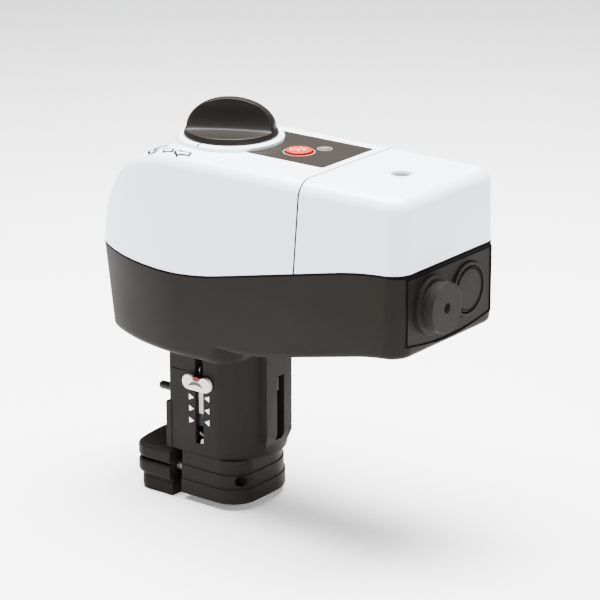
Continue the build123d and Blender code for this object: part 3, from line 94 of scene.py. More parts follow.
RELIEF_STRETCH = {
    Relief.BRUSHED: (0.04, 1.0, 1.0),
    Relief.TURNED: (0.15, 0.15, 3.0),
    Relief.BOARD: (1.0, 0.25, 1.0),
}
CELLS_PER_METRE = 1000.0  # at a grain of 1 mm
MOTTLE_GRAINS = 40.0  # a patch of the mottle is this many grains across
MOTTLE_DETAIL = 3.0
GRAIN_DETAIL = 6.0
SMOOTH_DETAIL = 1.0
BUMP_STRENGTH = 0.6
COAT_ROUGHNESS = 0.12
WHITE = (1.0, 1.0, 1.0, 1.0)


@dataclass(frozen=True)
class Finish:
    """One procedural finish.

    Args:
        name: Blender name of the material.
        colour: base colour, linear.
        shade: second colour that mottles the base colour.
        rough: lowest and highest roughness.
        relief: kind of fine relief.
        grain: size of the fine relief, in millimetres.
        bump: depth of the fine relief, in millimetres.
        metallic: share of metal in the shader.
        coat: weight of the clear coat.
        shine: specular level of the shader.
        glow: strength of its own light.
    """

    name: str
    colour: Triple
    shade: Triple
    rough: Pair
    relief: Relief = Relief.MOULD
    grain: float = 0.5
    bump: float = 0.01
    metallic: float = 0.0
    coat: float = 0.0
    shine: float = 0.5
    glow: float = 0.0

    def build(self) -> bpy.types.Material:
        """Makes the material or returns the one made before.

        Returns:
            The Blender material with its node tree.
        """
        label = f"{self.name}_finish"
        made = bpy.data.materials.get(label)
        if made is not None:
            return made
        material = bpy.data.materials.new(label)
        material.use_nodes = True
        tree = material.node_tree
        link = tree.links.new
        shader = tree.nodes["Principled BSDF"]
        for socket, value in (
                ("Metallic", self.metallic), ("Coat Weight", self.coat),
                ("Coat Roughness", COAT_ROUGHNESS), ("Specular IOR Level", self.shine),
                ("Emission Color", WHITE), ("Emission Strength", self.glow)):
            shader.inputs[socket].default_value = value
        place = tree.nodes.new("ShaderNodeTexCoord")
        mottle = self._noise(tree, place.outputs["Object"],
                             CELLS_PER_METRE / (self.grain * MOTTLE_GRAINS), MOTTLE_DETAIL)
        fine = self._fine(tree, place.outputs["Object"])
        mix = tree.nodes.new("ShaderNodeMix")
        mix.data_type = "RGBA"
        mix.inputs["A"].default_value = (*self.colour, 1.0)
        mix.inputs["B"].default_value = (*self.shade, 1.0)
        blend = tree.nodes.new("ShaderNodeMath")
        blend.operation = "MULTIPLY"
        link(mottle, blend.inputs[0])
        link(fine, blend.inputs[1])
        link(blend.outputs["Value"], mix.inputs["Factor"])
        link(mix.outputs["Result"], shader.inputs["Base Color"])
        spread = tree.nodes.new("ShaderNodeMapRange")
        spread.inputs["To Min"].default_value = self.rough[0]
        spread.inputs["To Max"].default_value = self.rough[1]
        link(mottle, spread.inputs["Value"])
        link(spread.outputs["Result"], shader.inputs["Roughness"])
        relief = tree.nodes.new("ShaderNodeBump")
        relief.inputs["Strength"].default_value = BUMP_STRENGTH
        relief.inputs["Distance"].default_value = self.bump * MM
        link(fine, relief.inputs["Height"])
        link(relief.outputs["Normal"], shader.inputs["Normal"])
        return material

    def _noise(self, tree: Tree, where: Socket, scale: float,
               detail: float) -> Socket:
        """Adds a noise texture.

        Args:
            tree: node tree of the material.
            where: socket with the place on the object.
            scale: noise scale in cells per metre.
            detail: octaves of the noise.

        Returns:
            The socket with the noise value.
        """
        noise = tree.nodes.new("ShaderNodeTexNoise")
        noise.inputs["Scale"].default_value = scale
        noise.inputs["Detail"].default_value = detail
        tree.links.new(where, noise.inputs["Vector"])
        return noise.outputs["Fac"]

    def _fine(self, tree: Tree, where: Socket) -> Socket:
        """Adds the fine relief of this finish.

        Args:
            tree: node tree of the material.
            where: socket with the place on the object.

        Returns:
            The socket with the relief height.
        """
        stretch = RELIEF_STRETCH.get(self.relief)
        if stretch is not None:
            turn = tree.nodes.new("ShaderNodeMapping")
            turn.inputs["Scale"].default_value = stretch
            tree.links.new(where, turn.inputs["Vector"])
            where = turn.outputs["Vector"]
        if self.relief is Relief.CAST:
            cells = tree.nodes.new("ShaderNodeTexVoronoi")
            cells.feature = "SMOOTH_F1"
            cells.inputs["Scale"].default_value = CELLS_PER_METRE / self.grain
            tree.links.new(where, cells.inputs["Vector"])
            return cells.outputs["Distance"]
        detail = SMOOTH_DETAIL if self.relief is Relief.SMOOTH else GRAIN_DETAIL
        return self._noise(tree, where, CELLS_PER_METRE / self.grain, detail)


class Dress(NamedTuple):
    """What a new piece is given: its finish and the CAD body that carries it. It also holds its
    slot, which nothing reads.
    """

    finish: Finish
    body: str
    slot: str


COVER = Finish("cover_moulding", (0.7, 0.745, 0.785), (0.675, 0.72, 0.76), (0.24, 0.32),
               Relief.SMOOTH, grain=3.0, bump=0.01, coat=0.2, shine=0.4)
TRAY = Finish("tray_moulding", (0.01, 0.0083, 0.0068), (0.0078, 0.0065, 0.0053), (0.5, 0.62),
              grain=0.6, bump=0.02, shine=0.05)
PLATE = replace(TRAY, name="entry_plate_moulding")
PLUG = replace(TRAY, name="knock_out_moulding")
NECK = Finish("neck_casting", (0.0105, 0.0087, 0.0071), (0.008, 0.0067, 0.0055), (0.5, 0.62),
              Relief.CAST, grain=0.7, bump=0.02, shine=0.06)
JAW = Finish("jaw_casting", (0.0085, 0.007, 0.0058), (0.0065, 0.0054, 0.0045), (0.5, 0.62),
             Relief.CAST, grain=0.7, bump=0.02, shine=0.05)
KNOB = Finish("knob_moulding", (0.007, 0.0055, 0.0044), (0.0052, 0.0041, 0.0033), (0.34, 0.46),
              grain=0.5, bump=0.01, shine=0.12)
LABEL = Finish("label_film", (0.013, 0.0112, 0.0095), (0.0105, 0.0091, 0.0078), (0.42, 0.5),
               grain=0.3, bump=0.004, shine=0.05)
RED = Finish("button_red", (0.33, 0.01, 0.007), (0.28, 0.008, 0.005), (0.3, 0.38),
             Relief.SMOOTH, grain=2.0, bump=0.006, coat=0.1, shine=0.15)
MARK_LIGHT = Finish("mark_light", (0.62, 0.3, 0.23), (0.56, 0.26, 0.2), (0.35, 0.45),
                    Relief.SMOOTH, grain=1.0, bump=0.003)
MARK_GREY = Finish("mark_grey", (0.3, 0.26, 0.24), (0.25, 0.22, 0.2), (0.4, 0.5),
                   Relief.SMOOTH, grain=1.0, bump=0.003)
MARK_DIM = Finish("mark_dim", (0.075, 0.068, 0.058), (0.06, 0.054, 0.046), (0.5, 0.6),
                  Relief.SMOOTH, grain=1.0, bump=0.003, shine=0.1)
MARK_WHITE = Finish("mark_white", (0.86, 0.85, 0.81), (0.8, 0.79, 0.75), (0.45, 0.55),
                    grain=0.4, bump=0.004)
# Dark colour of the dome's print, also the painted shade in the ring's notch.
DARK_PRINT_AND_SHADE = Finish("dark_print_and_shade", (0.005, 0.0052, 0.006), (0.007, 0.0072, 0.008), (0.6, 0.7),
                   grain=0.4, bump=0.003, shine=0.06)
# Near-black finish that paints shade: in the seams, in the grooves and holes of the entries and
# in the top of the neck's slot.
PAINTED_SHADE = Finish("painted_seam_shade", (0.003, 0.003, 0.003), (0.0042, 0.0042, 0.0042), (0.7, 0.8),
              grain=0.4, bump=0.004, shine=0.01)
LAMP = Finish("lamp_clear", (0.09, 0.084, 0.078), (0.072, 0.067, 0.062), (0.45, 0.55),
              Relief.SMOOTH, grain=1.5, bump=0.004, shine=0.05)
ZINC = Finish("zinc_steel", (0.72, 0.72, 0.7), (0.6, 0.6, 0.58), (0.22, 0.36),
              Relief.BRUSHED, grain=0.3, bump=0.004, metallic=1.0)
STEEL = Finish("ground_steel", (0.56, 0.56, 0.55), (0.48, 0.48, 0.47), (0.18, 0.32),
               Relief.TURNED, grain=0.3, bump=0.004, metallic=1.0)
PRESSED = Finish("pressed_steel", (0.52, 0.53, 0.54), (0.45, 0.46, 0.47), (0.28, 0.42),
                 Relief.BRUSHED, grain=0.4, bump=0.006, metallic=1.0)
BRASS = Finish("turned_brass", (0.78, 0.56, 0.22), (0.68, 0.47, 0.18), (0.2, 0.34),
               Relief.TURNED, grain=0.3, bump=0.004, metallic=1.0)
NYLON = Finish("gear_nylon", (0.74, 0.71, 0.62), (0.68, 0.65, 0.56), (0.4, 0.5),
               grain=0.6, bump=0.006)
ACETAL = Finish("black_acetal", (0.022, 0.022, 0.023), (0.03, 0.03, 0.031), (0.35, 0.45),
                grain=0.5, bump=0.006)
RUBBER = Finish("entry_rubber", (0.0105, 0.0092, 0.008), (0.0135, 0.012, 0.0105), (0.55, 0.68),
                grain=0.45, bump=0.02, shine=0.07)
CARRIAGE = Finish("carriage_nylon", (0.055, 0.053, 0.05), (0.045, 0.043, 0.041), (0.45, 0.55),
                  grain=0.5, bump=0.01)
IVORY = Finish("indicator_ivory", (0.7, 0.66, 0.59), (0.65, 0.61, 0.54), (0.38, 0.48),
               grain=0.5, bump=0.006)
GREY = Finish("indicator_grey", (0.024, 0.027, 0.031), (0.018, 0.02, 0.023), (0.5, 0.6),
              grain=0.5, bump=0.006, shine=0.15)
PIN = Finish("pin_moulding", (0.014, 0.0135, 0.013), (0.011, 0.0106, 0.0102), (0.45, 0.55),
             grain=0.5, bump=0.006, shine=0.12)
POINTER = Finish("pointer_red", (0.13, 0.006, 0.008), (0.1, 0.005, 0.006), (0.45, 0.55),
                 Relief.SMOOTH, grain=1.0, bump=0.004, shine=0.2)
BOARD = Finish("board_resist", (0.02, 0.13, 0.055), (0.045, 0.22, 0.09), (0.25, 0.4),
               Relief.BOARD, grain=2.5, bump=0.02)
TERMINAL = Finish("terminal_moulding", (0.07, 0.3, 0.12), (0.055, 0.25, 0.1), (0.38, 0.48),
                  grain=0.5, bump=0.006)
DIP = Finish("switch_blue", (0.03, 0.09, 0.32), (0.025, 0.07, 0.26), (0.35, 0.45),
             grain=0.5, bump=0.005)
RELAY = Finish("relay_case", (0.028, 0.028, 0.03), (0.035, 0.035, 0.037), (0.3, 0.4),
               grain=0.5, bump=0.005)
SLEEVE = Finish("capacitor_sleeve", (0.022, 0.026, 0.05), (0.03, 0.034, 0.06), (0.28, 0.38),
                Relief.SMOOTH, grain=2.0, bump=0.004)
FLOOR = Finish("studio_floor", (0.9, 0.905, 0.91), (0.89, 0.895, 0.9), (0.6, 0.7),
               Relief.SMOOTH, grain=40.0, bump=0.0, glow=0.25)

NODE_FINISHES = {node: finish for finish, nodes in {
    TRAY: "base_housing", PLATE: "cable_entry_plate", PLUG: "knockout_plug", NECK: "neck",
    JAW: "clamp_jaw", KNOB: "knob", LABEL: "label_panel", COVER: "main_cover terminal_cover",
    RED: "button", LAMP: "light_pipe", PIN: "lock_pin", POINTER: "pointer",
    IVORY: "indicator_strip position_clip", GREY: "indicator_tail", CARRIAGE: "carriage",
    ZINC: "terminal_cover_screw motor_screws chassis_screws neck_screws front_clamp_screw "
          "rear_clamp_screw board_screws",
    STEEL: "drive_shaft idler_shaft motor_shaft spindle stem_coupling",
    PRESSED: "motor lower_plate upper_plate", BRASS: "motor_pinion chassis_pillars guide_bush",
    NYLON: "drive_gear idler_gear", ACETAL: "lower_hub_bush upper_hub_bush",
    RUBBER: "spindle_wiper cable_grommet", BOARD: "control_board terminal_board",
    RELAY: "limit_switch push_switch relay", TERMINAL: "terminal_block", DIP: "dip_switch",
    SLEEVE: "capacitor",
}.items() for node in nodes.split()}
BEVELS = {  # width in millimetres
    "base_housing": 0.25, "main_cover": 0.3, "terminal_cover": 0.3, "label_panel": 0.12,
    "neck": 0.35, "clamp_jaw": 0.4, "cable_entry_plate": 0.2, "position_clip": 0.5,
    "cable_grommet": 0.5, "knockout_plug": 0.25, "button": 0.3, "light_pipe": 0.3,
    "terminal_cover_screw": 0.15, "terminal_block": 0.2, "relay": 0.2, "carriage": 0.3,
}
# Dress for the painted shade in seams, grooves and holes.
SHADE_DRESS = Dress(PAINTED_SHADE, "housing", "rubber_black")
# Dress for the dome's dark print, also used for the painted shade in the ring's notch.
DOME_PRINT_AND_SHADE = Dress(DARK_PRINT_AND_SHADE, "housing", "rubber_black")
FILM_PRINT = Dress(MARK_GREY, "housing", "label_dark")
BUTTON_PRINT = Dress(MARK_LIGHT, "push_button", "button_red")


def lattice(rows: int, cols: int, wrap_rows: bool, wrap_cols: bool) -> Array:
    """Quads between the points of a grid numbered row by row.

    Args:
        rows: number of rows.
        cols: number of columns.
        wrap_rows: joins the last row to the first.
        wrap_cols: joins the last column to the first.

    Returns:
        Array of four corner numbers for each quad.
    """
    row, col = np.meshgrid(
        np.arange(rows if wrap_rows else rows - 1),
        np.arange(cols if wrap_cols else cols - 1), indexing="ij")
    next_row = (row + 1) % rows
    next_col = (col + 1) % cols
    corners = (row * cols + col, row * cols + next_col,
               next_row * cols + next_col, next_row * cols + col)
    return np.stack(corners, -1).reshape(-1, 4)


def make_piece(name: str, points: Array, faces: list[Array], dress: Dress,
               flat: bool = False) -> Object:
    """Makes a mesh object that rides on a CAD body.

    Args:
        name: name of the piece.
        points: vertices in millimetres, as a list or a grid.
        faces: arrays of corner numbers, one array for each number of corners.
        dress: its finish, carrying body and slot.
        flat: leaves the faces flat-shaded.

    Returns:
        The new object.
    """
    finish, body, slot = dress
    mesh = bpy.data.meshes.new(name)
    corners = [tuple(face) for group in faces for face in group.tolist()]
    mesh.from_pydata((points.reshape(-1, 3) * MM).tolist(), [], corners)
    mesh.update()
    mesh.validate()
    mesh.polygons.foreach_set("use_smooth", np.full(len(mesh.polygons), not flat))
    mesh.materials.append(finish.build())
    piece = bpy.data.objects.new(name, mesh)
    bpy.context.scene.collection.objects.link(piece)
    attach(piece, body)
    return piece


def join_points(piece: Object) -> None:
    """Merges points of a piece that lie on each other, with a modifier."""
    weld = piece.modifiers.new("joined_points", "WELD")
    weld.merge_threshold = POINT_GAP * MM


@dataclass
class NodeDresser:
    """Gives every CAD node its finish and smooth shading, and the nodes listed in BEVELS soft
    edges.
    """

    smooth_deg: float = 32.0
    plain_deg: float = 0.4
    weld: float = 0.004
    bevel_steps: int = 2

    def shading_group(self) -> Tree:
        """Geometry nodes that merge loose corners and keep only steep edges sharp.

        Returns:
            The node group.
        """
        group = bpy.data.node_groups.get("soft_shading")
        if group is not None:
            return group
        group = bpy.data.node_groups.new("soft_shading", "GeometryNodeTree")
        group.interface.new_socket("Geometry", in_out="INPUT", socket_type="NodeSocketGeometry")
        group.interface.new_socket("Geometry", in_out="OUTPUT", socket_type="NodeSocketGeometry")
        nodes, links = group.nodes, group.links
        source = nodes.new("NodeGroupInput")
        merge = nodes.new("GeometryNodeMergeByDistance")
        merge.inputs["Distance"].default_value = self.weld * MM
        faces = nodes.new("GeometryNodeSetShadeSmooth")
        faces.domain = "FACE"
        angle = nodes.new("GeometryNodeInputMeshEdgeAngle")
        steep = nodes.new("ShaderNodeMath")
        steep.operation = "LESS_THAN"
        steep.inputs[1].default_value = math.radians(self.smooth_deg)
        edges = nodes.new("GeometryNodeSetShadeSmooth")
        edges.domain = "EDGE"
        sink = nodes.new("NodeGroupOutput")
        links.new(source.outputs[0], merge.inputs["Geometry"])
        links.new(merge.outputs["Geometry"], faces.inputs["Geometry"])
        links.new(faces.outputs["Geometry"], edges.inputs["Geometry"])
        links.new(angle.outputs["Unsigned Angle"], steep.inputs[0])
        links.new(steep.outputs["Value"], edges.inputs["Shade Smooth"])
        links.new(edges.outputs["Geometry"], sink.inputs[0])
        return group

    def dress(self, name: str, node: Object) -> None:
        """Finishes one CAD node.

        Args:
            name: name of the node.
            node: its Blender object.
        """
        node.data.materials.clear()
        node.data.materials.append(NODE_FINISHES[name].build())
        shade = node.modifiers.new("soft_shading", "NODES")
        shade.node_group = self.shading_group()
        if name in BEVELS:
            flat = node.modifiers.new("plain_faces", "DECIMATE")
            flat.decimate_type = "DISSOLVE"
            flat.angle_limit = math.radians(self.plain_deg)
            edge = node.modifiers.new("soft_edges", "BEVEL")
            edge.width = BEVELS[name] * MM
            edge.segments = self.bevel_steps
            edge.limit_method = "ANGLE"
            edge.angle_limit = math.radians(self.smooth_deg)
            edge.harden_normals = True

    def dress_all(self, nodes: dict[str, Object]) -> None:
        """Finishes all CAD nodes.

        Args:
            nodes: the frame's nodes by name.
        """
        for name, node in nodes.items():
            self.dress(name, node)
            LOG.info("dressed %s", name)


def sweep(path: Array, side: Array, up: Array, profile: Array,
          closed: bool) -> tuple[Array, list[Array]]:
    """Carries a closed profile along a path.

    The surface is path(i) + a(j) side(i) + b(j) up(i), with (a, b) the profile's points.

    Args:
        path: points of the path, in millimetres.
        side: unit vector at each point for the profile's first axis.
        up: unit vector at each point for the profile's second axis.
        profile: corner points of the profile.
        closed: joins the end of the path to its start.

    Returns:
        The vertices, and the faces in groups of equal size.
    """
    points = (path[:, None, :] + profile[None, :, :1] * side[:, None, :]
              + profile[None, :, 1:] * up[:, None, :])
    rows, cols = points.shape[:2]
    faces = [lattice(rows, cols, closed, True)]
    if not closed:
        faces += [np.arange(cols)[None, ::-1], np.arange(cols)[None, :] + (rows - 1) * cols]
    return points.reshape(-1, 3), faces


def round_profile(wide: float, high: float, count: int = 12) -> Array:
    """Ellipse with the given half axes as a closed profile."""
    turn = np.linspace(0.0, TAU, count, endpoint=False)
    return np.stack([wide * np.cos(turn), high * np.sin(turn)], -1)


def arc(centre: Pair, radius: Array | float, start: float, end: float,
        count: int) -> Array:
    """Points of an arc between two angles in degrees.

    Args:
        centre: centre of the arc.
        radius: its radius.
        start: first angle.
        end: last angle.
        count: number of points.

    Returns:
        Array of points in the arc's plane.
    """
    turn = np.radians(np.linspace(start, end, count))
    return np.stack([centre[0] + radius * np.cos(turn), centre[1] + radius * np.sin(turn)], -1)


def circle(radius: float, count: int) -> Array:
    """Points of a circle round the plane's origin."""
    return arc((0.0, 0.0), radius, 0.0, 360.0, count + 1)[:-1]


def level_plane(x: float, y: float, z: float, thickness: float) -> Array:
    """Rows of a level plane: its origin, its two axes and its thickness vector."""
    return np.array([[x, y, z], [1, 0, 0], [0, 1, 0], [0, 0, thickness]])


def front_plane(x: float, y: float, thickness: float) -> Array:
    """Rows of an upright plane facing -Y: its origin, its two axes and its thickness vector."""
    return np.array([[x, y, 0.0], [1, 0, 0], [0, 0, 1], [0, -thickness, 0]])


def unit(rows: Array) -> Array:
    """Rows scaled to length one."""
    return rows / np.linalg.norm(rows, axis=1, keepdims=True)


def headings(line: Array) -> Array:
    """Unit direction at each point of a closed line, from its two neighbours."""
    return unit(np.roll(line, -1, axis=0) - np.roll(line, 1, axis=0))


def spread(points: Array, step: float, closed: bool) -> Array:
    """Adds points to a polyline so that no step is longer than a given length.

    Args:
        points: corners of the polyline in a plane.
        step: longest step.
        closed: joins the last corner to the first.

    Returns:
        The corners with even points between them.
    """
    line = np.vstack([points, points[:1]]) if closed else points
    run = np.concatenate([[0.0], np.cumsum(np.hypot(*np.diff(line, axis=0).T))])
    even = np.linspace(0.0, run[-1], int(np.ceil(run[-1] / step)) + 1)
    along = np.unique(np.round(np.concatenate([run, even]), DECIMALS))
    if closed:
        along = along[:-1]
    return np.stack([np.interp(along, run, line[:, axis]) for axis in (0, 1)], -1)


def band(points: Array, width: float, closed: bool) -> tuple[Array, Array]:
    """Left and right edge of a line of even width with mitred corners.

    Each corner moves along the mean of its two segment normals, by half the width over
    the cosine of half the turn, and at most by the width.

    Args:
        points: points of the line in a plane.
        width: width of the line.
        closed: joins the last point to the first.

    Returns:
        The two edges, point by point.
    """
    ahead = np.roll(points, -1, axis=0) - points
    behind = points - np.roll(points, 1, axis=0)
    if not closed:
        ahead[-1] = behind[-1]
        behind[0] = ahead[0]
    ahead, behind = unit(ahead), unit(behind)
    mean = ahead + behind
    mean = mean / np.maximum(np.linalg.norm(mean, axis=1, keepdims=True), TINY)
    normal = np.stack([-mean[:, 1], mean[:, 0]], -1)
    reach = np.minimum(0.5 * width / np.maximum(np.sum(mean * ahead, axis=1), 0.5), width)
    return points + normal * reach[:, None], points - normal * reach[:, None]


def print_and_shade_line(name: str, points: Array, width: float, closed: bool, place: Array,
                 dress: Dress) -> Object:
    """Makes a line as a thin flat solid, used for print and for painted shade.

    Args:
        name: name of the piece.
        points: the line in its own plane.
        width: width of the line.
        closed: joins the last point to the first.
        place: rows with the plane's origin, its two axes and its thickness vector.
        dress: its finish, carrying body and slot.

    Returns:
        The new object.
    """
    left, right = band(points, width, closed)
    flat = np.stack([left, right], 1)
    low = place[0] + flat[..., :1] * place[1] + flat[..., 1:] * place[2]
    ring = np.stack([low[:, 0], low[:, 1], low[:, 1] + place[3], low[:, 0] + place[3]], 1)
    rows = len(ring)
    faces = [lattice(rows, 4, closed, True)]
    if not closed:
        faces += [np.array([[3, 2, 1, 0]]), np.array([[0, 1, 2, 3]]) + (rows - 1) * 4]
    return make_piece(name, ring, faces, dress, flat=True)


def plate(name: str, outline: Array, place: Array, dress: Dress) -> Object:
    """Makes a flat plate from its outline.

    Args:
        name: name of the piece.
        outline: corner points in the plate's plane, anticlockwise.
        place: rows with the plane's origin, its two axes and its thickness vector.
        dress: its finish, carrying body and slot.

    Returns:
        The new object.
    """
    low = place[0] + outline[:, :1] * place[1] + outline[:, 1:] * place[2]
    count = len(low)
    points = np.vstack([low, low + place[3]])
    step = np.arange(count)
    after = np.roll(step, -1)
    sides = np.stack([step, after, after + count, step + count], -1)
    faces = [sides, step[None, ::-1], step[None, :] + count]
    return make_piece(name, points, faces, dress, flat=True)


@dataclass
class HandKnob:
    """Hand knob: flared rim with an upright grip hollowed on both sides."""

    foot_z: float = 180.1
    floor_z: float = 183.1
    top_z: float = 197.8
    grip_r: float = 21.7
    waist: float = 5.4
    wall_half: float = 9.0
    wall_slope: float = 6.0
    scoop_r: float = 24.0
    scoop_drop: float = 1.6
    far_drop: float = 9.0
    floor_fall: float = 0.5
    edge_drop: float = 0.1
    rim: tuple = ((21.95, 0.12), (22.15, 0.45), (22.35, 1.0), (22.62, 1.6), (22.86, 2.1),
                  (22.98, 2.45), (22.9, 2.7))
    foot_r: tuple[float, ...] = (22.6, 17.0, 9.0, 0.0)
    turn_deg: float = 28.0
    soft: float = 0.45
    gather: float = 0.42
    spokes: int = 300
    rings: tuple[int, int, int] = (34, 40, 10)

    def angles(self) -> Array:
        """Angles round the knob, closer together near the ends of the grip."""
        even = np.linspace(0.0, TAU, self.spokes, endpoint=False)
        return even - self.gather * np.sin(2.0 * even)

    def radii(self, turn: Array) -> Array:
        """Radii of the grid, closer together at the grip's walls.

        Args:
            turn: angles from the grip's long axis.

        Returns:
            Array with one row for each angle.
        """
        lean = np.maximum(np.abs(np.sin(turn)), TINY)[:, None]
        wall = np.minimum(0.5 * self.waist / lean, self.grip_r)
        foot = np.minimum(self.wall_half / lean, self.grip_r)
        top, side, floor = (np.linspace(0.0, 1.0, count, endpoint=False) for count in self.rings)
        return np.hstack([wall * top * (2.0 - top), wall + (foot - wall) * side ** 2,
                          foot + (self.grip_r - foot) * floor,
                          np.full_like(wall, self.grip_r)])

    def height(self, along: Array, across: Array) -> Array:
        """Height of the top surface.

        The surface is the larger of the floor, which falls with the cube of the radius, and
        the grip. The grip is the smaller of an elliptic dome and two hollows, circles of
        scoop_r seen along the grip. Both choices are blended over a soft length.

        Args:
            along: place along the grip.
            across: place across the grip.

        Returns:
            The height in millimetres.
        """
        reach = np.minimum((along ** 2 + across ** 2) / self.grip_r ** 2, 1.0)
        dome = self.floor_z + (self.top_z - self.floor_z) * np.sqrt(1.0 - reach)
        away = np.abs(across) - 0.5 * self.waist
        drop = np.sqrt(np.maximum(self.scoop_r ** 2 - (self.scoop_r - away) ** 2, 0.0))
        drop = np.where(away > 0.0, drop, self.wall_slope * away)
        hollow = self.top_z - self.scoop_drop - drop
        hollow = np.where(away > self.scoop_r, self.floor_z - self.far_drop, hollow)
        soft = self.soft
        grip = -soft * np.logaddexp(-dome / soft, -hollow / soft)
        slope = self.floor_z - self.floor_fall * (np.hypot(along, across) / self.grip_r) ** 3
        return soft * np.logaddexp(grip / soft, slope / soft)

    def build(self) -> Object:
        """Builds the knob as one closed surface and puts it in place of the plain one.

        Returns:
            The new object.
        """
        turn = self.angles()
        radius = self.radii(turn)
        along, across = radius * np.cos(turn)[:, None], radius * np.sin(turn)[:, None]
        top = self.height(along, across)
        rim_r, rim_drop = np.array(self.rim).T
        rim_z = self.floor_z - self.edge_drop - rim_drop
        side_r = np.append(rim_r, self.foot_r)
        side_z = np.append(rim_z, np.full(len(self.foot_r), self.foot_z))
        radius = np.hstack([radius, np.tile(side_r, (len(turn), 1))])
        level = np.hstack([top, np.tile(side_z, (len(turn), 1))])
        heading = (turn + math.radians(self.turn_deg))[:, None]
        points = np.stack([radius * np.cos(heading), radius * np.sin(heading), level], -1)
        knob = make_piece("hand_knob", points, [lattice(*radius.shape, True, False)],
                          Dress(KNOB, "hand_drive", "knob_dark"))
        join_points(knob)
        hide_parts("knob")
        return knob


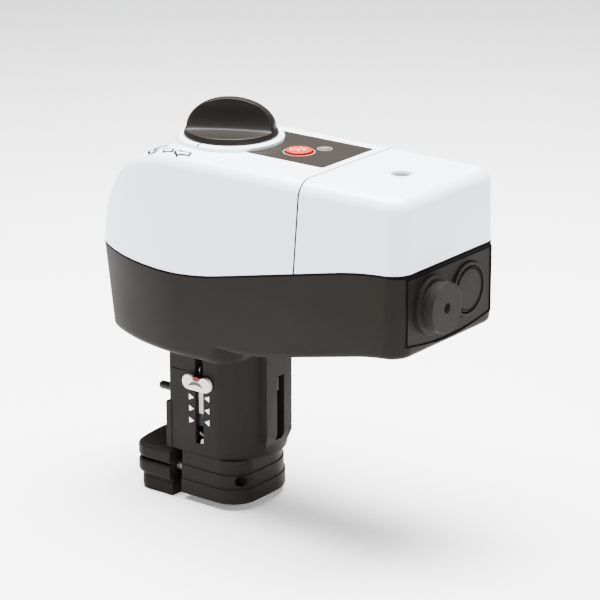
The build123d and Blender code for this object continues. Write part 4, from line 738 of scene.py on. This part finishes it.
@dataclass
class SeamShades:
    """Painted shade of the seams between the covers, the tray and the entry plate, as dark
    tubes.
    """

    half_w: float = 40.6
    side_x: float = -2.0
    side_r: float = 105.0
    nose_x: float = -67.0
    nose_edge_r: float = 9.0
    end_x: float = 129.0
    corner_r: float = 10.0
    widest_z: float = 118.4
    draft_deg: float = 1.4
    top_z: float = 177.3
    top_r: float = 8.0
    part_x: float = -12.0
    part_end_z: float = 141.2
    part_r: float = 170.0
    seam_x: float = 67.2
    seam_lean_deg: float = 3.4
    plate_x: float = 128.3
    plate_half: float = 33.8
    plate_top: float = 139.4
    plate_side: float = 107.4
    plate_mid: float = 103.9
    part_half: Pair = (0.16, 0.55)
    part_sink: float = 0.02
    part_low: float = 0.45
    end_widening: float = 0.8
    seam_half: Pair = (0.48, 0.16)
    seam_sink: float = 0.05
    seam_shift: float = 0.15
    entry_half: Pair = (0.65, 0.32)
    entry_step: float = 2.0
    plan_counts: tuple[int, ...] = (8, 16, 36, 60, 12)
    seam_count: int = 40
    bend_count: int = 14
    bow_count: int = 30

    def part_z(self, x: Array) -> Array:
        """Height of the parting line: two equal arcs joined by their tangent.

        Args:
            x: places along the housing.

        Returns:
            The heights.
        """
        run = self.end_x - self.part_x
        rise = self.part_end_z - self.widest_z - 2.0 * self.part_r
        angle = math.asin(2.0 * self.part_r / math.hypot(run, rise)) - math.atan2(-rise, run)
        ahead, behind = x - self.part_x, self.end_x - x
        bend = self.part_r * math.sin(angle)
        first = self.part_r - np.sqrt(self.part_r ** 2 - np.clip(ahead, 0.0, bend) ** 2)
        last = self.part_r - np.sqrt(self.part_r ** 2 - np.clip(behind, 0.0, bend) ** 2)
        low = self.widest_z + first + math.tan(angle) * np.clip(ahead - bend, 0.0, None)
        return np.where(behind < bend, self.part_end_z - last, low)

    def plan(self) -> Array:
        """Outline of the housing at its widest height.

        Returns:
            Its points, anticlockwise from the nose.
        """
        nose, edge, side, straight, end = self.plan_counts
        centre_y = self.side_r - self.half_w
        edge_x = self.nose_x + self.nose_edge_r
        reach, back = self.side_r - self.nose_edge_r, self.side_x - edge_x
        edge_y = centre_y - math.sqrt(reach ** 2 - back ** 2)
        turn = 180.0 + math.degrees(math.atan2(centre_y - edge_y, back))
        flat = np.linspace(0.0, edge_y, nose, endpoint=False)[:, None]
        corner = (self.end_x - self.corner_r, self.half_w - self.corner_r)
        run = np.linspace(self.side_x, corner[0], straight, endpoint=False)[:, None]
        lower = np.vstack([
            np.hstack([np.full_like(flat, self.nose_x), flat]),
            arc((edge_x, edge_y), self.nose_edge_r, 180.0, turn, edge)[:-1],
            arc((self.side_x, centre_y), self.side_r, turn, 270.0, side)[:-1],
            np.hstack([run, np.full_like(run, -self.half_w)]),
            arc((corner[0], -corner[1]), self.corner_r, 270.0, 360.0, end)])
        return np.vstack([lower, lower[:0:-1] * np.array([1.0, -1.0])])

    def parting(self) -> None:
        """Builds the dark tube that follows the wavy parting line all round: painted shade of
        the gap under the cover.
        """
        plan = self.plan()
        ahead = headings(plan)
        out = np.stack([ahead[:, 1], -ahead[:, 0]], -1)
        level = self.part_z(plan[:, 0])
        draft = math.tan(math.radians(self.draft_deg))
        inset = (level - self.widest_z) * draft + self.part_sink
        past = (plan[:, 0] - self.end_x + self.corner_r) / self.corner_r
        wide = 1.0 + np.clip(past, 0.0, self.end_widening)
        height = level + self.part_half[1] - self.part_low * wide
        path = np.column_stack([plan - out * inset[:, None], height])
        side = np.column_stack([out, np.zeros(len(out))])
        up = np.column_stack([np.zeros((len(out), 2)), wide])
        points, faces = sweep(path, side, up, round_profile(*self.part_half), True)
        points[:, 0] = np.maximum(points[:, 0], self.nose_x)
        points[:, 1] = np.clip(points[:, 1], -self.half_w, self.half_w)
        make_piece("parting_shade", points, faces, SHADE_DRESS)

    def cover_seam(self) -> None:
        """Builds the dark tube in the leaning seam between the two covers: painted shade of the
        gap.
        """
        lean = math.tan(math.radians(self.seam_lean_deg))
        low = float(self.part_z(np.array([self.seam_x]))[0])
        draft = math.tan(math.radians(self.draft_deg))
        rise = np.linspace(low, self.top_z - self.top_r, self.seam_count)
        edge = self.half_w - (rise - self.widest_z) * draft
        bend = arc((edge[-1] - self.top_r, self.top_z - self.top_r), self.top_r, 0.0, 90.0,
                   self.bend_count)
        right = np.vstack([np.column_stack([edge, rise])[:-1], bend])
        over = np.linspace(right[-1, 0], -right[-1, 0], self.seam_count)[1:-1, None]
        line = np.vstack([right, np.hstack([over, np.full_like(over, self.top_z)]),
                          right[::-1] * np.array([-1.0, 1.0])])
        step = unit(np.gradient(line, axis=0))
        out = np.column_stack([np.zeros(len(line)), step[:, 1], -step[:, 0]])
        place = line - self.seam_sink * out[:, 1:]
        x = self.seam_x + (line[:, 1] - self.widest_z) * lean + self.seam_shift
        path = np.column_stack([x, place])
        side = np.tile([1.0, 0.0, lean], (len(line), 1))
        points, faces = sweep(path, side, out, round_profile(*self.seam_half), False)
        make_piece("cover_seam_shade", points, faces, SHADE_DRESS)

    def entry(self) -> None:
        """Builds the dark tube round the entry plate, bowed along its lower edge: painted shade
        of the groove.
        """
        half = self.plate_half
        sag = self.plate_side - self.plate_mid
        bow_r = (half ** 2 + sag ** 2) / (2.0 * sag)
        reach = math.degrees(math.asin(half / bow_r))
        bow = arc((0.0, self.plate_mid + bow_r), bow_r, 270.0 - reach, 270.0 + reach,
                  self.bow_count)
        line = np.vstack([bow, [[half, self.plate_top], [-half, self.plate_top]]])
        line = spread(line, self.entry_step, True)
        ahead = headings(line)
        side = np.column_stack([np.zeros(len(line)), ahead[:, 1], -ahead[:, 0]])
        path = np.column_stack([np.full(len(line), self.plate_x), line])
        up = np.tile([1.0, 0.0, 0.0], (len(line), 1))
        points, faces = sweep(path, side, up, round_profile(*self.entry_half), True)
        make_piece("entry_plate_shade", points, faces, SHADE_DRESS)

    def build(self) -> None:
        """Builds the three tubes of painted shade."""
        self.parting()
        self.cover_seam()
        self.entry()
        LOG.info("seam shades done")


@dataclass
class DomeMarks:
    """Outlined arrows printed on the dome beside the knob."""

    width: float = 1.15
    lever_width: float = 1.6 * 1.15
    step: float = 0.8
    start_gap: float = 0.4
    print_gap: float = 0.02
    thickness: float = 0.06
    dome_x: float = -5.0
    dome_z: float = 115.3
    dome_r: float = 62.0
    turn_arrow: tuple = ((-29.2, -5.2), (-31.4, -7.0), (-32.0, -11.0), (-31.0, -15.2),
                         (-32.4, -16.4), (-27.8, -21.4), (-26.0, -15.2), (-27.8, -15.0),
                         (-28.8, -11.0), (-28.6, -7.6))
    frame_mark: tuple = ((-22.4, -34.4), (-25.6, -31.4), (-25.3, -25.6), (-24.9, -22.6),
                         (-20.8, -22.6), (-18.6, -28.6), (-18.8, -33.6))
    lever_mark: tuple = ((-20.6, -33.0), (-23.0, -28.0), (-23.6, -23.4))
    small_arrow: tuple = ((-7.6, -33.6), (-6.2, -31.0), (-4.8, -32.2), (1.0, -31.6),
                          (1.8, -34.2), (-3.6, -34.8), (-4.0, -36.0))
    ring_mark: tuple = ((-14.6, -34.4), (-14.4, -30.8), (-10.4, -30.6), (-9.0, -33.8))
    notch: tuple = ((-0.5, -25.7), (0.5, -25.7), (0.5, -23.3), (-0.5, -23.3))
    notch_z: float = 179.7
    notch_thickness: float = 0.08

    def line(self, name: str, corners: tuple, width: float, closed: bool,
             cover: Object) -> None:
        """Prints one line on the dome.

        Args:
            name: name of the piece.
            corners: corners of the line seen from above.
            width: width of the line.
            closed: joins the last corner to the first.
            cover: the cover that carries the print.
        """
        path = spread(np.array(corners), self.step, closed)
        left, right = band(path, width, closed)
        flat = np.stack([left, right], 1)
        level = self.dome_z + np.sqrt(self.dome_r ** 2 - (flat[..., 0] - self.dome_x) ** 2)
        points = np.concatenate([flat, level[..., None] + self.start_gap], -1)
        mark = make_piece(name, points, [lattice(len(path), 2, closed, False)[:, ::-1]],
                          DOME_PRINT_AND_SHADE)
        wrap = mark.modifiers.new("lies_on_cover", "SHRINKWRAP")
        wrap.target = cover
        wrap.wrap_method = "PROJECT"
        wrap.use_project_z = True
        wrap.use_negative_direction = True
        wrap.use_positive_direction = False
        wrap.offset = self.print_gap * MM
        thick = mark.modifiers.new("print_thickness", "SOLIDIFY")
        thick.thickness = self.thickness * MM
        thick.offset = 0.0

    def build(self, cover: Object) -> None:
        """Prints all marks on the cover and the painted shade in the ring's notch.

        Args:
            cover: the main cover.
        """
        self.line("turn_arrow", self.turn_arrow, self.width, True, cover)
        self.line("frame_mark", self.frame_mark, self.width, True, cover)
        self.line("lever_mark", self.lever_mark, self.lever_width, False, cover)
        self.line("small_arrow", self.small_arrow, self.width, True, cover)
        self.line("ring_mark", self.ring_mark, self.width, True, cover)
        # A dark plate in the notch of the knob's ring: painted shade in the recess.
        place = level_plane(0.0, 0.0, self.notch_z, self.notch_thickness)
        plate("notch_shade", np.array(self.notch), place, DOME_PRINT_AND_SHADE)
        LOG.info("dome marks done")


@dataclass
class LabelMarks:
    """Generic marks printed on the label, the button and round the lamp."""

    button: Pair = (41.0, 0.0)
    lamp: Pair = (47.5, 11.5)
    film_z: float = 177.6
    button_z: float = 178.8
    thickness: float = 0.05
    film_line: float = 0.35
    button_ring_r: float = 7.5
    lamp_ring_r: float = 3.4
    stroke_line: float = 0.5
    dot_line: float = 0.45
    circle_at: Pair = (-2.3, -1.3)
    circle_r: float = 1.7
    dot_at: Pair = (1.2, 2.2)
    dot_r: float = 1.0
    slash: tuple = ((-1.6, 3.4), (1.9, -3.2))
    bar: tuple = ((2.2, 2.9), (3.2, -1.2))
    step: float = 1.0
    spokes: int = 48

    def film_ring(self, name: str, centre: Pair, radius: float) -> None:
        """Prints a ring on the label's film.

        Args:
            name: name of the piece.
            centre: centre seen from above.
            radius: radius of the ring's middle line.
        """
        place = level_plane(*centre, self.film_z, self.thickness)
        print_and_shade_line(name, circle(radius, self.spokes), self.film_line, True, place, FILM_PRINT)

    def button_mark(self, name: str, line: Array, width: float, closed: bool,
                    offset: Pair = (0.0, 0.0)) -> None:
        """Prints a line on the button.

        Args:
            name: name of the piece.
            line: points of the line in its own plane.
            width: width of the line.
            closed: joins the last point to the first.
            offset: the plane's origin from the button's centre.
        """
        x, y = self.button
        place = level_plane(x + offset[0], y + offset[1], self.button_z, self.thickness)
        print_and_shade_line(name, line, width, closed, place, BUTTON_PRINT)

    def stroke(self, name: str, ends: tuple) -> None:
        """Prints a straight stroke between two ends on the button."""
        line = spread(np.array(ends), self.step, False)
        self.button_mark(name, line, self.stroke_line, False)

    def build(self) -> None:
        """Prints all marks."""
        self.film_ring("button_ring", self.button, self.button_ring_r)
        self.film_ring("lamp_ring", self.lamp, self.lamp_ring_r)
        self.button_mark("button_circle", circle(self.circle_r, self.spokes), self.stroke_line,
                         True, self.circle_at)
        self.stroke("button_slash", self.slash)
        self.stroke("button_bar", self.bar)
        self.button_mark("button_dot", circle(self.dot_r, self.spokes), self.dot_line, True,
                         self.dot_at)
        LOG.info("label marks done")


@dataclass(frozen=True)
class SlotBit:
    """One flat bit over the slot.

    Args:
        name: name of the piece.
        y: place of its back.
        thickness: its thickness.
        dress: its finish, carrying body and slot.
        outline: its corners from the slot's middle line, anticlockwise.
    """

    name: str
    y: float
    thickness: float
    dress: Dress
    outline: tuple

    def build(self, slot_x: float) -> None:
        """Places the bit in front of the slot's middle line."""
        place = front_plane(slot_x, self.y, self.thickness)
        plate(self.name, np.array(self.outline), place, self.dress)


@dataclass
class StrokeScale:
    """White triangles beside the slot and the small bits seen in it.

    The clip's bits cover the pointer's foot. Above the clip a black sheet paints the shade on
    the strip, apart from a small light sliver. The foot's bits sit below the grey end of the
    strip.
    """

    face_y: float = -26.0
    left_x: Pair = (-6.75, -3.85)
    right_x: Pair = (5.75, 2.95)
    left_z: tuple[float, ...] = (51.25, 45.3, 39.1)
    right_z: tuple[float, ...] = (52.4, 46.1, 40.0)
    half: float = 1.48
    thickness: float = 0.12
    slot_x: float = -0.5
    clip: tuple[SlotBit, ...] = (
        SlotBit("clip_bridge", -28.5, 0.12, Dress(IVORY, "stem", "indicator_white"),
                ((-2.0, 58.0), (2.0, 58.0), (2.0, 61.6), (1.0, 61.0), (-1.0, 61.0),
                 (-2.0, 61.6))),
        SlotBit("clip_eye", -28.6, 0.12, Dress(MARK_DIM, "stem", "indicator_grey"),
                ((-5.15, 57.8), (-2.1, 58.75), (0.0, 59.15), (1.6, 59.05), (4.3, 58.2),
                 (2.6, 60.1), (1.2, 60.7), (-1.2, 60.8), (-2.6, 60.2))),
    )
    # The first bit is a black sheet on the strip: painted shade in the top of the slot.
    shade_and_sliver: tuple[SlotBit, ...] = (
        SlotBit("slot_shade", -22.97, 0.06, Dress(PAINTED_SHADE, "stem", "rubber_black"),
                ((-3.7, 63.4), (3.7, 63.4), (3.7, 69.0), (-3.7, 69.0))),
        SlotBit("slot_glint", -23.05, 0.06, Dress(MARK_WHITE, "stem", "indicator_white"),
                ((-2.3, 64.2), (-1.7, 64.2), (-1.7, 66.6), (-2.3, 65.4))),
    )
    foot: tuple[SlotBit, ...] = (
        SlotBit("slot_foot", -25.2, 0.5, Dress(MARK_GREY, "housing", "indicator_white"),
                ((0.3, 28.0), (2.55, 28.4), (2.55, 30.8), (0.9, 30.4))),
        SlotBit("slot_foot_upper", -25.2, 0.5, Dress(MARK_DIM, "housing", "indicator_grey"),
                ((-0.2, 33.0), (2.55, 31.8), (2.55, 32.8), (0.2, 34.2))),
    )

    def triangle(self, name: str, base: float, tip: float, level: float) -> None:
        """Prints one triangle.

        Args:
            name: name of the piece.
            base: X of the base.
            tip: X of the tip.
            level: height of the tip.
        """
        corners = np.array([[base, level - self.half], [tip, level], [base, level + self.half]])
        if tip < base:
            corners = corners[::-1]
        place = front_plane(0.0, self.face_y, self.thickness)
        plate(name, corners, place, Dress(MARK_WHITE, "housing", "indicator_white"))

    def build(self) -> None:
        """Places the bits and prints all triangles."""
        for bit in self.clip + self.shade_and_sliver:
            bit.build(self.slot_x)
        for side, ends, levels in (("left", self.left_x, self.left_z),
                                   ("right", self.right_x, self.right_z)):
            for number, level in enumerate(levels):
                self.triangle(f"scale_{side}_{number}", *ends, level)
        for bit in self.foot:
            bit.build(self.slot_x)
        LOG.info("stroke scale done")


@dataclass
class EntryShades:
    """Painted shade: dark rings in the grommet's eye and in the grooves of the second entry.

    Each ring has its place along X, the radius of its middle line and its width.
    """

    entry_z: float = 123.0
    entry_y: float = 14.6
    thickness: float = 0.04
    eye: Triple = (137.2 - 0.04, 1.25, 2.4)
    groove: Triple = (128.62, 11.6, 1.05)
    edge: Triple = (128.2, 13.25, 0.5)
    line: Triple = (129.49, 9.9, 0.55)
    spokes: int = 64

    def ring(self, name: str, side: int, x: float, radius: float, width: float) -> None:
        """Places a dark ring of painted shade on the end face.

        Args:
            name: name of the piece.
            side: -1 for the grommet, 1 for the second entry.
            x: place of the ring's back.
            radius: radius of the ring's middle line.
            width: width of the ring.
        """
        place = np.array([[x, side * self.entry_y, self.entry_z], [0, 1, 0], [0, 0, 1],
                          [self.thickness, 0, 0]])
        print_and_shade_line(name, circle(radius, self.spokes), width, True, place, SHADE_DRESS)

    def build(self) -> None:
        """Places all rings."""
        self.ring("grommet_eye_shade", -1, *self.eye)
        self.ring("plug_groove_shade", 1, *self.groove)
        self.ring("plug_edge_shade", 1, *self.edge)
        self.ring("plug_line_shade", 1, *self.line)
        LOG.info("entry shades done")


@dataclass
class TerminalRoom:
    """Small parts that show when the terminal cover is off."""

    poles: int = 8
    pitch: float = 5.0
    block_x: float = 83.5
    block_z: float = 119.6
    screw_r: float = 1.7
    head_share: tuple[float, ...] = (0.0, 0.5, 0.9, 0.99, 1.0, 1.0)
    head_rise: tuple[float, ...] = (0.55, 0.5, 0.38, 0.2, 0.1, -0.05)
    slot_half: float = 0.3
    slot_depth: float = 0.35
    slot_share: float = 0.95
    spokes: int = 32
    board_z: float = 107.6
    chip_size: Triple = (2.4, 1.4, 0.9)
    chip_at: Pair = (94.0, -4.0)
    chip_pitch: Pair = (6.0, 7.0)
    chip_rows: int = 2
    chip_cols: int = 3

    def screws(self) -> None:
        """Builds the slotted heads of the terminal screws as domed discs.

        A head is a profile of radius and height turned round its axis, and every point
        within the slot's width is sunk by the slot's depth.
        """
        turn = np.linspace(0.0, TAU, self.spokes, endpoint=False)[:, None]
        radius = np.array(self.head_share)[None, :] * self.screw_r
        level = np.array(self.head_rise)[None, :] + self.block_z
        x, y = radius * np.cos(turn), radius * np.sin(turn)
        sunk = np.where(np.abs(y) < self.slot_half, self.slot_depth, 0.0)
        sunk = sunk * (radius < self.screw_r * self.slot_share)
        single = np.stack([x, y, level - sunk], -1)
        faces = [lattice(*single.shape[:2], True, False)]
        for pole in range(self.poles):
            middle = np.array([self.block_x, (pole - (self.poles - 1) / 2) * self.pitch, 0.0])
            head = make_piece(f"terminal_screw_{pole}", single + middle, faces,
                              Dress(ZINC, "housing", "zinc_screw"))
            join_points(head)

    def chips(self) -> None:
        """Builds two rows of small soldered parts on the board."""
        long, wide, high = self.chip_size
        corners = np.array([[-long, -wide], [long, -wide], [long, wide], [-long, wide]]) / 2
        for number in range(self.chip_rows * self.chip_cols):
            row, col = divmod(number, self.chip_cols)
            place = level_plane(self.chip_at[0] + self.chip_pitch[0] * col,
                                self.chip_at[1] + self.chip_pitch[1] * row, self.board_z, high)
            plate(f"board_chip_{number}", corners, place,
                  Dress(RELAY, "housing", "switch_black"))

    def build(self) -> None:
        """Builds the screws and the soldered parts."""
        self.screws()
        self.chips()
        LOG.info("terminal room done")


@dataclass
class Studio:
    """Pale floor, soft lights and the camera at the photograph's angle."""

    floor_z: float = -3.5
    floor_size: float = 6000.0
    pivot: Triple = (0.0, 0.0, 90.0)
    azimuth_deg: float = 37.28
    elevation_deg: float = 18.49
    right: float = 33.03
    up: float = 5.085
    distance: float = 1469.84
    lens: float = 180.0
    sensor: float = 36.0
    clip: Pair = (0.05, 50.0)
    sky: tuple[float, ...] = (0.93, 0.96, 1.0, 1.0)
    sky_strength: float = 0.24
    lamps: tuple = (
        ("top_light", (-40, 60, 900), (20, 20, 120), (900, 620), 86.0),
        ("front_light", (-500, -900, 450), (20, 0, 110), (600, 700), 0.3),
        ("end_light", (900, -350, 350), (80, 0, 120), (400, 700), 5.0),
    )

    def axes(self) -> tuple[Array, Array, Array]:
        """Camera axes as unit vectors.

        Returns:
            The directions to the right, up and back from the object to the camera.
        """
        turn, rise = math.radians(self.azimuth_deg), math.radians(self.elevation_deg)
        back = np.array([math.sin(turn) * math.cos(rise), -math.cos(turn) * math.cos(rise),
                         math.sin(rise)])
        right = np.array([math.cos(turn), math.sin(turn), 0.0])
        return right, np.cross(back, right), back

    def camera(self) -> None:
        """Adds the camera."""
        right, up, back = self.axes()
        data = bpy.data.cameras.new("camera")
        data.lens = self.lens
        data.sensor_width = self.sensor
        data.clip_start, data.clip_end = self.clip
        eye = bpy.data.objects.new("camera", data)
        place = np.array(self.pivot) + right * self.right + up * self.up + back * self.distance
        frame = np.eye(4)
        frame[:3, 0], frame[:3, 1], frame[:3, 2], frame[:3, 3] = right, up, back, place * MM
        eye.matrix_world = Matrix(frame.tolist())
        bpy.context.scene.collection.objects.link(eye)
        bpy.context.scene.camera = eye

    def lamp(self, name: str, place: Triple, aim: Triple,
             size: Pair, power: float) -> None:
        """Adds a rectangular soft light.

        Args:
            name: name of the light.
            place: where it stands, in millimetres.
            aim: the point that it faces, in millimetres.
            size: width and height, in millimetres.
            power: power in watts.
        """
        data = bpy.data.lights.new(name, "AREA")
        data.shape = "RECTANGLE"
        data.size, data.size_y = size[0] * MM, size[1] * MM
        data.energy = power
        lamp = bpy.data.objects.new(name, data)
        lamp.location = Vector(place) * MM
        lamp.rotation_mode = "QUATERNION"
        lamp.rotation_quaternion = (Vector(aim) - Vector(place)).to_track_quat("-Z", "Y")
        bpy.context.scene.collection.objects.link(lamp)

    def floor(self) -> None:
        """Adds the floor, a level square with a finish of its own."""
        half = self.floor_size / 2.0
        span = np.linspace(-half, half, 3)
        x, y = np.meshgrid(span, span)
        points = np.stack([x, y, np.full_like(x, self.floor_z)], -1).reshape(-1, 3)
        mesh = bpy.data.meshes.new("floor")
        mesh.from_pydata((points * MM).tolist(), [], lattice(3, 3, False, False).tolist())
        mesh.materials.append(FLOOR.build())
        ground = bpy.data.objects.new("floor", mesh)
        bpy.context.scene.collection.objects.link(ground)

    def build(self) -> None:
        """Adds the floor, world, lights and camera."""
        self.floor()
        world = bpy.data.worlds.new("studio")
        world.use_nodes = True
        backdrop = world.node_tree.nodes["Background"]
        backdrop.inputs["Color"].default_value = self.sky
        backdrop.inputs["Strength"].default_value = self.sky_strength
        bpy.context.scene.world = world
        for values in self.lamps:
            self.lamp(*values)
        self.camera()


def main() -> None:
    """Builds the studio and the dressed actuator around the frame."""
    logging.basicConfig(level=logging.INFO, format="%(name)s: %(message)s")
    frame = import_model()
    Studio().build()
    NodeDresser().dress_all(frame["nodes"])
    HandKnob().build()
    SeamShades().build()
    DomeMarks().build(frame["nodes"]["main_cover"])
    LabelMarks().build()
    StrokeScale().build()
    EntryShades().build()
    TerminalRoom().build()


if __name__ == "__main__":
    main()
